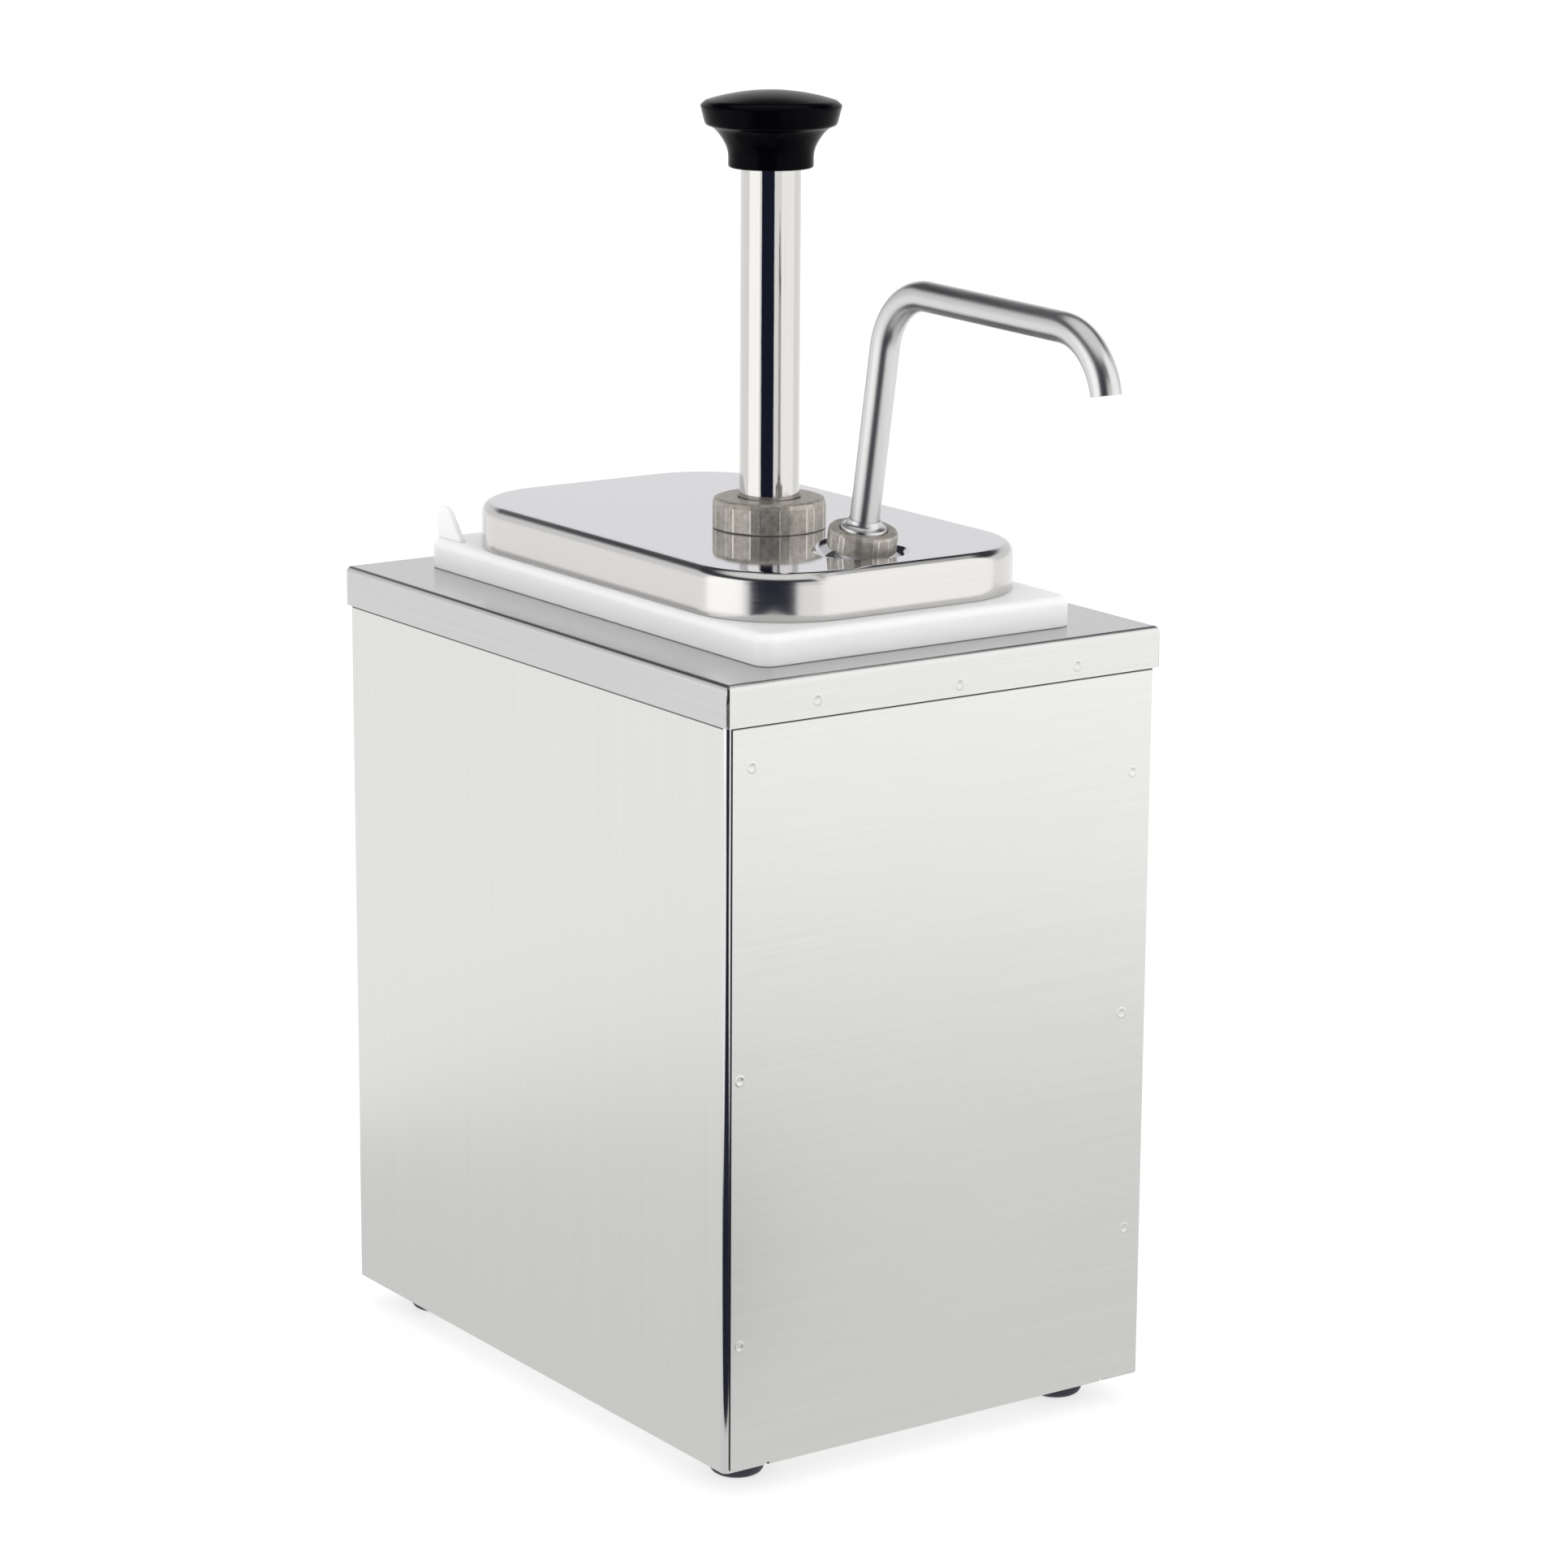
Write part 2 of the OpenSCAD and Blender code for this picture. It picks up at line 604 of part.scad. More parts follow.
module discharge_fitting() color("darkgray") at_port() {
    shoulder_t = 2;
    shoulder_s = dish_s - lid_sheet - seal_t - shoulder_t;
    top_s = ferrule_s - washer_t;
    difference() {
        union() {
            translate([0, 0, fitting_s]) cylinder(d = riser_d + 4, h = top_s - fitting_s);
            translate([0, 0, shoulder_s]) cylinder(d = thread_d + 4, h = shoulder_t);
            translate([0, 0, shoulder_s]) cylinder(d = thread_d, h = top_s - shoulder_s);
        }
        translate([0, 0, fitting_s - over]) cylinder(d = riser_in, h = top_s - fitting_s + 2 * over);
        translate([0, 0, fitting_s - over])
            cylinder(d = riser_d + 2 * seat_fit, h = fitting_socket_h + over);
    }
}

module fitting_gasket() color("dimgray") at_port()
    ring(thread_d + 4, thread_d + 2 * screw_play, seal_t, dish_s - lid_sheet - seal_t);

module discharge_washer() color("dimgray") at_port()
    ring(flange_d - 1, spout_d - 2 * spout_wall, washer_t, ferrule_s - washer_t);

module discharge_ferrule() color("silver") at_port() rotate_extrude() polygon([
    [spout_d / 2 + seat_fit, ferrule_s],
    [flange_d / 2, ferrule_s],
    [flange_d / 2, ferrule_s + 1.2],
    [collar_d / 2, ferrule_s + 1.2],
    [collar_d / 2, ferrule_s + 3.6],
    [collar_d / 2 - 0.6, ferrule_s + 4.1],
    [spout_d / 2 + 1.1, ferrule_s + 4.6],
    [spout_d / 2 + 0.3, ferrule_s + 6.5],
    [spout_d / 2 + seat_fit, ferrule_s + 6.5]
]);

module discharge_nut() color("#8f8b84") at_port() translate([0, 0, nut_s]) difference() {
    rotate([0, 0, port_nut_turn]) cast_nut_blank(port_nut_d, port_nut_h, 0.8);
    translate([0, 0, -over]) cylinder(d = thread_d + 2 * seat_fit, h = ferrule_s + 1.3 - nut_s + over);
    cylinder(d = collar_d + 4 * seat_fit, h = port_nut_h + over);
}

// One ring of the discharge tube: its middle, and how far the tube has turned from the lean
function tube_stations() =
    let (steps = 10,
         b1 = [0, straight_l],
         c1 = b1 + [-spout_bend, 0],
         run_dir = [-sin(first_turn), cos(first_turn)],
         b2 = c1 + spout_bend * [cos(first_turn), sin(first_turn)] + spout_run * run_dir,
         c2 = b2 - spout_bend * [cos(first_turn), sin(first_turn)])
    concat(
        [[[0, ferrule_s], 0]],
        [for (i = [0:steps]) let (a = first_turn * i / steps)
            [c1 + spout_bend * [cos(a), sin(a)], a]],
        [for (i = [0:steps]) let (a = first_turn + outlet_turn * i / steps)
            [c2 + spout_bend * [cos(a), sin(a)], a]]
    );

// The tube's wall as rings of outer and inner points, joined along the route and at both ends
module discharge_tube() color("silver") at_port() {
    sides = 24;
    route = tube_stations();
    rings = len(route);
    radii = [spout_d / 2, spout_d / 2 - spout_wall];
    inner = rings * sides;
    polyhedron(
        [for (r = radii) for (st = route) for (j = [0:sides - 1])
            let (b = 360 * j / sides, a = st[1])
            [r * cos(b), st[0].x + r * sin(b) * cos(a), st[0].y + r * sin(b) * sin(a)]],
        concat(
            [for (i = [0:rings - 2]) for (j = [0:sides - 1]) let (k = (j + 1) % sides)
                [i * sides + j, (i + 1) * sides + j, (i + 1) * sides + k, i * sides + k]],
            [for (i = [0:rings - 2]) for (j = [0:sides - 1]) let (k = (j + 1) % sides)
                [inner + i * sides + k, inner + (i + 1) * sides + k,
                 inner + (i + 1) * sides + j, inner + i * sides + j]],
            [for (j = [0:sides - 1]) let (k = (j + 1) % sides)
                [j, k, inner + k, inner + j]],
            [for (j = [0:sides - 1]) let (k = (j + 1) % sides, e = (rings - 1) * sides)
                [e + k, e + j, inner + e + j, inner + e + k]]
        ),
        convexity = 6
    );
}

// ---- Plunger ----

// Half of the knob's outline, from the axis down its domed top to the neck
function knob_outline() =
    let (r = knob_d / 2,
         neck = tube_d / 2 + knob_wall,
         edge = r - 1.25,
         dome_r = (edge * edge + dome_h * dome_h) / (2 * dome_h),
         dome_a = asin(edge / dome_r),
         rim_top = knob_h - dome_h,
         flare_top = rim_top - 8.3)
    concat(
        [for (i = [0:8]) let (a = dome_a * i / 8)
            [dome_r * sin(a), knob_h - dome_r * (1 - cos(a))]],
        [[r, rim_top - 1.9], [r - 1.5, rim_top - 7.2], [r - 2.2, rim_top - 7.9]],
        [[neck + 5.6, flare_top]],
        [for (i = [1:6]) let (t = i / 6)
            [neck + 5.6 * pow(1 - t, 2), flare_top - 8.6 * t]],
        [[neck, 1], [neck - 0.8, 0.2], [neck - 1.4, 0], [0, 0]]
    );

module knob() color("#101014") at_pump() translate([0, 0, knob_z]) difference() {
    rotate_extrude() polygon(knob_outline());
    translate([0, 0, -over]) cylinder(d = tube_d + 2 * seat_fit, h = socket_h + over);
    translate([0, 0, socket_h - over]) cylinder(d = insert_d + 2 * seat_fit, h = insert_h + over);
}

module knob_insert() color("goldenrod")
    at_pump() ring(insert_d, stud_d + 2 * seat_fit, insert_h, tube_top);

module tube_plug() color("silver") at_pump() {
    translate([0, 0, tube_top - plug_h]) cylinder(d = tube_in - 2 * seat_fit, h = plug_h);
    translate([0, 0, tube_top - 1]) cylinder(d = stud_d, h = insert_h);
}

module plunger_tube() color("silver") at_pump() ring(tube_d, tube_in, tube_top - tube_z, tube_z);

module stop_collar() color("silver")
    at_pump() ring(bore_d - 1.6, tube_d + 2 * seat_fit, collar_h, collar_z);

module piston() color("whitesmoke") at_pump() difference() {
    union() {
        translate([0, 0, piston_z]) cylinder(d = piston_d, h = piston_h);
        translate([0, 0, piston_z]) cylinder(d = tube_in - 2 * seat_fit, h = piston_h + spigot_h);
    }
    ring(bore_d + over, groove_in, groove_h, groove_z);
    translate([0, 0, piston_z - over])
        cylinder(d = piston_screw_d + 2 * seat_fit, h = piston_h + spigot_h / 2 + over);
}

module piston_seal() color("dimgray")
    at_pump() ring(piston_d, groove_in + 2 * seat_fit, groove_h - 4 * seat_fit, groove_z + 2 * seat_fit);

module piston_screw() color("silver") at_pump() {
    translate([0, 0, piston_z - piston_head_h]) cylinder(d = piston_screw_d + 4, h = piston_head_h);
    translate([0, 0, piston_z - 1]) cylinder(d = piston_screw_d, h = piston_h + spigot_h / 2);
}

// ---- Check balls ----

module inlet_ball() color("silver")
    at_pump() translate([0, 0, seat_z + inlet_rest + 0.02]) sphere(d = inlet_ball_d);

module outlet_ball() color("silver")
    at_port() translate([0, 0, outlet_s + outlet_rest + 0.02]) sphere(d = outlet_ball_d);

// ---- Assembly ----

module placed() { translate([0, origin_shift, 0]) children(); }

placed() cabinet_wrap();
placed() front_panel();
placed() top_cover();
placed() base_plate();
placed() foot_front_left();
placed() foot_front_right();
placed() foot_back_left();
placed() foot_back_right();
placed() foot_screws();
placed() foot_washers();
placed() foot_nuts();
placed() jar();
placed() lid();
placed() lid_gasket();
placed() pump_barrel();
placed() pump_nut();
placed() guide_bush();
placed() manifold();
placed() inlet_nozzle();
placed() nozzle_oring();
placed() spring_seat();
placed() return_spring();
placed() riser_tube();
placed() discharge_fitting();
placed() fitting_gasket();
placed() discharge_washer();
placed() discharge_ferrule();
placed() discharge_tube();
placed() discharge_nut();
placed() knob();
placed() knob_insert();
placed() tube_plug();
placed() plunger_tube();
placed() stop_collar();
placed() piston();
placed() piston_seal();
placed() piston_screw();
placed() inlet_ball();
placed() outlet_ball();
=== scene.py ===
# %% [markdown]
# # A countertop sauce pump
#
# The object is a folded steel cabinet that holds a white jar. A hand pump hangs from the jar's
# lid: a polished tube with a black knob, and a bent outlet tube at the front. The measured model
# comes first, because every piece below takes its place and size from it.

# %% Load the measured model
import json
import math

import bmesh
import bpy
from mathutils import Matrix, Vector


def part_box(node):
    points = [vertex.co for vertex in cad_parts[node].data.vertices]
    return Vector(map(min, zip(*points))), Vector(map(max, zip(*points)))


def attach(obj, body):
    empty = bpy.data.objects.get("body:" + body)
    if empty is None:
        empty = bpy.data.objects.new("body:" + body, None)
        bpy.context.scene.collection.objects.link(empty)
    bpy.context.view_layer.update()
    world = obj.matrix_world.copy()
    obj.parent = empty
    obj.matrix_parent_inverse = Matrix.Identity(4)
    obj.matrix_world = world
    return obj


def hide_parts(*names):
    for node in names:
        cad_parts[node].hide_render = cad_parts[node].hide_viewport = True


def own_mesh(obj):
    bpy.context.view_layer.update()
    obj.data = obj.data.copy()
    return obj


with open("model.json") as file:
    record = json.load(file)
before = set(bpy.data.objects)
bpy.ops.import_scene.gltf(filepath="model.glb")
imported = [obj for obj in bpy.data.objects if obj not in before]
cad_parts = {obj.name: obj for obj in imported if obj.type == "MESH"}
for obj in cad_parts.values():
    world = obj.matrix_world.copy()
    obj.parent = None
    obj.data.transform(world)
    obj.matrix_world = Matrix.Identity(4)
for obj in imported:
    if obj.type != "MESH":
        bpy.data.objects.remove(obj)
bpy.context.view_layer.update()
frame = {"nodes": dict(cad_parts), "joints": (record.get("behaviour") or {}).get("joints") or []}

MM = 0.001
scene = bpy.context.scene

# %% [markdown]
# ## The places that everything hangs on
#
# Three places fix the whole object: the cover's top, the pump's upright axis, and the leaning
# axis of the outlet. The leaning axis is the way the outlet's check ball lifts, so it is read
# from that joint and is never typed in twice.

# %% Cover, lid and the two axes
cover_low, cover_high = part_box("top_cover")
cover_top = cover_high.z
middle = Vector(((cover_low.x + cover_high.x) / 2, (cover_low.y + cover_high.y) / 2, 0))
lid_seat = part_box("lid")[0].z
lid_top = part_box("pump_nut")[0].z
tube_low, tube_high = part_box("plunger_tube")
pump_axis = Vector(((tube_low.x + tube_high.x) / 2, (tube_low.y + tube_high.y) / 2, 0))
outlet_way = Vector(next(j for j in frame["joints"] if j["name"] == "outlet_ball_lift")["axis"])
ball_low, ball_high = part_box("outlet_ball")
ball = (ball_low + ball_high) / 2
port = ball + outlet_way * ((lid_top - ball.z) / outlet_way.z)
lean = math.atan2(-outlet_way.y, outlet_way.z)
at_port = Matrix.Translation(port) @ Matrix.Rotation(lean, 4, "X")
at_pump = Matrix.Translation((pump_axis.x, pump_axis.y, 0))
print("lid top", round(lid_top / MM, 1), "port", [round(v / MM, 1) for v in port],
      "lean", round(math.degrees(lean), 1))

# %% [markdown]
# ## The camera
#
# The view is from the front left, a little above, with a long lens, so the upright edges stay
# almost parallel. The camera comes early, because its framing decides how much detail each
# piece needs. Its place is given from the middle of the cover.

# %% Camera
camera = bpy.data.objects.new("camera", bpy.data.cameras.new("camera"))
scene.collection.objects.link(camera)
scene.camera = camera
camera.data.sensor_width = 36
camera.data.lens = 109.42
camera.location = (middle.x - 0.9340, middle.y - 1.37104, cover_top + 0.32627)
yaw, pitch, roll = (math.radians(a) for a in (55.20127, -13.39692, 0.35578))
ahead = Vector((math.cos(pitch) * math.cos(yaw), math.cos(pitch) * math.sin(yaw), math.sin(pitch)))
level = Vector((math.sin(yaw), -math.cos(yaw), 0))
upward = level.cross(ahead)
right = level * math.cos(roll) + upward * math.sin(roll)
upward = upward * math.cos(roll) - level * math.sin(roll)
camera.rotation_mode = "QUATERNION"
camera.rotation_quaternion = Matrix((right, upward, -ahead)).transposed().to_quaternion()
camera.data.clip_start, camera.data.clip_end = 0.05, 50
print("camera", [round(v, 3) for v in camera.location], "lens", camera.data.lens)

# %% [markdown]
# ## Floor and light
#
# Polished steel shows what stands around it more than its own colour, so the light is made for
# the reflections: a white floor that also glows a little, a bright board to the left and one to
# the front right, a pale band along the horizon, a dark ceiling with a bright patch overhead,
# and a dark screen and a dark mat near the viewer. The ceiling draws the dark line along each
# folded edge. The screen and the mat draw the dark stripes down the two tubes and the corner, and
# a grey mat round the feet darkens the panels towards the bottom.

# %% Boards
def plain_material(name, colour, roughness=0.9, glow=0.0):
    material = bpy.data.materials.new(name)
    material.use_nodes = True
    shader = material.node_tree.nodes["Principled BSDF"]
    shader.inputs["Base Color"].default_value = (*colour, 1)
    shader.inputs["Roughness"].default_value = roughness
    shader.inputs["Specular IOR Level"].default_value = 0
    shader.inputs["Emission Color"].default_value = (1, 1, 1, 1)
    shader.inputs["Emission Strength"].default_value = glow
    return material


def board(name, size, place, material):
    bm = bmesh.new()
    bmesh.ops.create_grid(bm, x_segments=1, y_segments=1, size=0.5,
                          matrix=place @ Matrix.Diagonal((*size, 1, 1)))
    mesh = bpy.data.meshes.new(name)
    bm.to_mesh(mesh)
    bm.free()
    mesh.materials.append(material)
    piece = bpy.data.objects.new(name, mesh)
    scene.collection.objects.link(piece)
    return piece


def turned_left(degrees):
    """The foot of the pump's axis, turned from the front towards the left."""
    return Matrix.Translation(pump_axis) @ Matrix.Rotation(math.radians(-degrees), 4, "Z")


def lying(degrees, distance):
    """A place on the floor, at a distance from the pump in metres."""
    return turned_left(degrees) @ Matrix.Translation((0, -distance, 0.002))


def standing(degrees, distance, height):
    """An upright place that faces the pump, at a distance and a height in metres."""
    return (turned_left(degrees) @ Matrix.Translation((0, -distance, height))
            @ Matrix.Rotation(math.pi / 2, 4, "X"))


board("floor", (24, 24), Matrix.Identity(4), plain_material("floor_paper", (0.42, 0.42, 0.42), glow=0.68))

# %% Two bright boards, a dark screen and two mats
left_board = board("left_board", (0.95, 0.9), standing(99, 1.1, 0.45),
                   plain_material("left_glow", (0, 0, 0), glow=1.55))
right_board = board("right_board", (1.3, 1.9), standing(-38, 1.15, 0.95),
                    plain_material("right_glow", (0, 0, 0), glow=1.35))
dark_cloth = plain_material("dark_cloth", (0.012, 0.014, 0.03))
screen = board("dark_screen", (0.86, 1.0), standing(44, 0.95, 0.5), dark_cloth)
mat = board("dark_mat", (0.6, 0.75), lying(44, 0.575), dark_cloth)
grey_mat = board("grey_mat", (0.9, 0.9), Matrix.Translation((0, -0.1, 0.001)),
                 plain_material("grey_glow", (0, 0, 0), glow=0.82))
for piece in (screen, mat, grey_mat):
    piece.visible_diffuse = False
    piece.visible_shadow = False
for piece in (left_board, right_board, screen, mat, grey_mat):
    piece.visible_camera = False

# %% The room
world = bpy.data.worlds.new("studio")
scene.world = world
world.use_nodes = True
room = world.node_tree
direction = room.nodes.new("ShaderNodeTexCoord")
parts = room.nodes.new("ShaderNodeSeparateXYZ")
ramp = room.nodes.new("ShaderNodeValToRGB")
room.links.new(direction.outputs["Generated"], parts.inputs[0])
room.links.new(parts.outputs["Z"], ramp.inputs["Fac"])
ray = room.nodes.new("ShaderNodeLightPath")
lit = room.nodes.new("ShaderNodeMix")
lit.data_type = "RGBA"
lit.inputs[7].default_value = (0.95, 0.95, 0.95, 1)
room.links.new(ray.outputs["Is Diffuse Ray"], lit.inputs[0])
room.links.new(ramp.outputs["Color"], lit.inputs[6])
room.links.new(lit.outputs[2], room.nodes["Background"].inputs["Color"])
WHITE, PALE, DARK, OVERHEAD = (1, 1, 1), (0.83, 0.83, 0.845), (0.03, 0.03, 0.04), (0.92, 0.92, 0.92)
for place, shade in ((0.02, WHITE), (0.06, PALE), (0.42, PALE), (0.52, DARK), (0.75, DARK), (0.84, OVERHEAD)):
    stop = ramp.color_ramp.elements.new(place)
    stop.color = (*shade, 1)
ramp.color_ramp.elements.remove(ramp.color_ramp.elements[0])
ramp.color_ramp.elements[-1].color = (*OVERHEAD, 1)
room.nodes["Background"].inputs["Strength"].default_value = 1.05
scene.view_settings.view_transform = "Standard"
scene.view_settings.look = "None"
print("stage ready")

# %% [markdown]
# ## Helpers for sheet, turned and moulded shapes
#
# A pressed pan or a moulded rim is a stack of outlines with round corners, bridged one to the
# next. A folded sheet is an edge that runs straight and then bends. A turned piece is a
# half-outline spun round. These three helpers make nearly every piece here, so they come first.

# %% Outlines, bridges and folds
CORNER_STEPS = 12


def outline(bm, half, corner, z, centre=middle):
    """A closed loop of edges: a rectangle with round corners, lying at height z (millimetres)."""
    faces_before = set(bm.faces)
    place = (Matrix.Translation((centre.x, centre.y, z * MM))
             @ Matrix.Diagonal((half[0] * MM, half[1] * MM, 1, 1)))
    made = bmesh.ops.create_grid(bm, x_segments=1, y_segments=1, size=1, matrix=place)
    bmesh.ops.bevel(bm, geom=made["verts"], offset=corner * MM, offset_type="OFFSET",
                    segments=CORNER_STEPS, profile=0.5, affect="VERTICES", material=-1)
    face = next(f for f in bm.faces if f not in faces_before)
    edges = list(face.edges)
    bmesh.ops.delete(bm, geom=[face], context="FACES_ONLY")
    return edges


def circle(bm, radius, z, place, steps=64):
    """A closed round loop at height z along a place's own axis (millimetres)."""
    made = bmesh.ops.create_circle(bm, cap_ends=False, segments=steps, radius=radius * MM,
                                   matrix=place @ Matrix.Translation((0, 0, z * MM)))
    return list({e for v in made["verts"] for e in v.link_edges})


def bridge_all(bm, loops):
    for near, far in zip(loops, loops[1:]):
        bmesh.ops.bridge_loops(bm, edges=near + far)


def run_on(bm, edge, way, length):
    """Extends a sheet from one edge by a length in metres, and gives back its new edge."""
    made = bmesh.ops.extrude_edge_only(bm, edges=[edge])["geom"]
    verts = [g for g in made if isinstance(g, bmesh.types.BMVert)]
    bmesh.ops.translate(bm, verts=verts, vec=Vector(way) * length)
    return next(g for g in made if isinstance(g, bmesh.types.BMEdge) and set(g.verts) == set(verts))


def bend(bm, edge, centre, axis, degrees, steps=6):
    """Bends a sheet on from one edge about an axis, and gives back its new edge."""
    made = bmesh.ops.spin(bm, geom=[*edge.verts, edge], cent=centre, axis=axis, dvec=(0, 0, 0),
                          angle=math.radians(degrees), steps=steps, use_merge=False, use_duplicate=False)
    return next(g for g in made["geom_last"] if isinstance(g, bmesh.types.BMEdge))


def turned(bm, profile, place, steps=96):
    """Spins a half-outline of (radius, height) points in millimetres round a place's own axis."""
    verts = [bm.verts.new((r * MM, 0, z * MM)) for r, z in profile]
    edges = [bm.edges.new(pair) for pair in zip(verts, verts[1:])]
    made = bmesh.ops.spin(bm, geom=verts + edges, cent=(0, 0, 0), axis=(0, 0, 1), dvec=(0, 0, 0),
                          angle=math.tau, steps=steps, use_merge=True, use_duplicate=False)
    bmesh.ops.remove_doubles(bm, verts=bm.verts, dist=1e-6)
    bmesh.ops.transform(bm, matrix=place, verts=bm.verts)


def rounding(radius, steps):
    """Pairs (inset, rise) along a quarter circle, from an upright wall to a flat top."""
    return [(radius * (1 - math.cos(a)), radius * math.sin(a))
            for a in (math.pi / 2 * i / steps for i in range(1, steps + 1))]


# %% Finishing a piece
def finished(name, bm, body, materials, replaces=(), sharp=35, outward=None):
    """Makes the piece: normals out, smooth but for its sharp edges, on its body, over its CAD."""
    bmesh.ops.recalc_face_normals(bm, faces=bm.faces)
    if outward is not None:   # an open sheet has no inside, so one known face settles the side
        point, way = outward
        nearest = min(bm.faces, key=lambda f: (f.calc_center_median() - point).length)
        if nearest.normal.dot(way) < 0:
            bmesh.ops.reverse_faces(bm, faces=bm.faces)
    for face in bm.faces:
        face.smooth = True
    for edge in bm.edges:    # an open edge has no angle, so it counts as sharp
        if edge.calc_face_angle(math.pi) > math.radians(sharp):
            edge.smooth = False
    mesh = bpy.data.meshes.new(name)
    bm.to_mesh(mesh)
    bm.free()
    for material in materials:
        mesh.materials.append(material)
    piece = bpy.data.objects.new(name, mesh)
    scene.collection.objects.link(piece)
    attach(piece, body)
    if replaces:
        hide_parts(*replaces)
    print(name, "faces", len(mesh.polygons))
    return piece


def thicken(piece, thickness, cut_edge=0):
    """Gives a sheet its wall, on the side away from its normals; cut_edge picks the edges' material."""
    wall = piece.modifiers.new("wall", "SOLIDIFY")
    wall.thickness = thickness * MM
    wall.offset = -1
    wall.use_even_offset = True
    wall.material_offset_rim = cut_edge
    return even(piece)


def even(piece):
    """Lets the large flat faces keep their own normals, so that only the bends look bent."""
    shading = piece.modifiers.new("even", "WEIGHTED_NORMAL")
    shading.mode = "FACE_AREA"
    shading.weight = 100
    shading.keep_sharp = True
    return piece

# %% [markdown]
# ## Finishes used by several pieces
#
# Brushed steel is a fine grain of long thin lines. The grain only shows in the gloss, so it
# drives roughness and a very small bump, and barely touches the colour. It is one node group,
# placed in each steel with its own stretch and strength, and so is the cast surface of the nuts.

# %% Node helpers
def group_of(name, inputs, outputs):
    tree = bpy.data.node_groups.new(name, "ShaderNodeTree")
    for kind, label, value in inputs:
        socket = tree.interface.new_socket(label, in_out="INPUT", socket_type=kind)
        socket.default_value = value
    for kind, label in outputs:
        tree.interface.new_socket(label, in_out="OUTPUT", socket_type=kind)
    return tree, tree.nodes.new("NodeGroupInput"), tree.nodes.new("NodeGroupOutput")


def node(tree, kind, links=(), **settings):
    made = tree.nodes.new("ShaderNode" + kind)
    for key, value in settings.items():
        setattr(made, key, value)
    for socket, source in dict(links).items():
        if hasattr(source, "is_output"):
            tree.links.new(source, made.inputs[socket])
        else:
            made.inputs[socket].default_value = source
    return made


def sums(tree, operation, *values):
    return node(tree, "Math", {i: v for i, v in enumerate(values)}, operation=operation).outputs[0]


# %% The grain group
grain_tree, gi, go = group_of(
    "brushed_grain",
    [("NodeSocketVector", "Place", (0, 0, 0)), ("NodeSocketVector", "Stretch", (1, 1, 1)),
     ("NodeSocketFloat", "Fineness", 9000.0), ("NodeSocketFloat", "Roughness", 0.3),
     ("NodeSocketFloat", "Roughness Spread", 0.1)],
    [("NodeSocketFloat", "Height"), ("NodeSocketFloat", "Roughness"), ("NodeSocketFloat", "Streak")])
stretched = node(grain_tree, "VectorMath", {0: gi.outputs["Place"], 1: gi.outputs["Stretch"]},
                 operation="MULTIPLY")
fine = node(grain_tree, "TexNoise", {"Vector": stretched.outputs[0], "Scale": gi.outputs["Fineness"],
                                     "Detail": 3.0, "Roughness": 0.65})
coarse_scale = sums(grain_tree, "MULTIPLY", gi.outputs["Fineness"], 0.12)
coarse = node(grain_tree, "TexNoise", {"Vector": stretched.outputs[0], "Scale": coarse_scale, "Detail": 2.0})
cloud = node(grain_tree, "TexNoise", {"Vector": gi.outputs["Place"], "Scale": 14.0, "Detail": 2.0})
height = sums(grain_tree, "MULTIPLY_ADD", coarse.outputs["Fac"], 0.5, fine.outputs["Fac"])
centred = sums(grain_tree, "SUBTRACT", coarse.outputs["Fac"], 0.5)
mixed = sums(grain_tree, "MULTIPLY_ADD", cloud.outputs["Fac"], 0.6, centred)
spread = sums(grain_tree, "MULTIPLY", sums(grain_tree, "SUBTRACT", mixed, 0.3),
              gi.outputs["Roughness Spread"])
grain_tree.links.new(height, go.inputs["Height"])
grain_tree.links.new(sums(grain_tree, "ADD", gi.outputs["Roughness"], spread), go.inputs["Roughness"])
grain_tree.links.new(coarse.outputs["Fac"], go.inputs["Streak"])

# %% [markdown]
# ### Spot welds
#
# The front sheet is held by spot welds, and each one leaves a shallow ring in the face. A ring is
# the distance from its middle, passed through a narrow hump, and it is added to the bump height.

# %% The weld ring group
weld_tree, wi, wo = group_of(
    "weld_ring",
    [("NodeSocketVector", "Place", (0, 0, 0)), ("NodeSocketVector", "Middle", (0, 0, 0)),
     ("NodeSocketFloat", "Radius", 0.0015)],
    [("NodeSocketFloat", "Height")])
RING_WIDTH = 0.0006
from_middle = node(weld_tree, "VectorMath", {0: wi.outputs["Place"], 1: wi.outputs["Middle"]},
                   operation="DISTANCE").outputs["Value"]
off_ring = sums(weld_tree, "ABSOLUTE", sums(weld_tree, "SUBTRACT", from_middle, wi.outputs["Radius"]))
rim_share = sums(weld_tree, "SMOOTH_MIN", sums(weld_tree, "DIVIDE", off_ring, RING_WIDTH), 1.0, 0.3)
dip = sums(weld_tree, "DIVIDE", from_middle, wi.outputs["Radius"])
dip_share = sums(weld_tree, "SMOOTH_MIN", dip, 1.0, 0.5)
raised = sums(weld_tree, "MULTIPLY", rim_share, -0.6)
weld_tree.links.new(sums(weld_tree, "MULTIPLY_ADD", dip_share, 0.8, raised), wo.inputs["Height"])


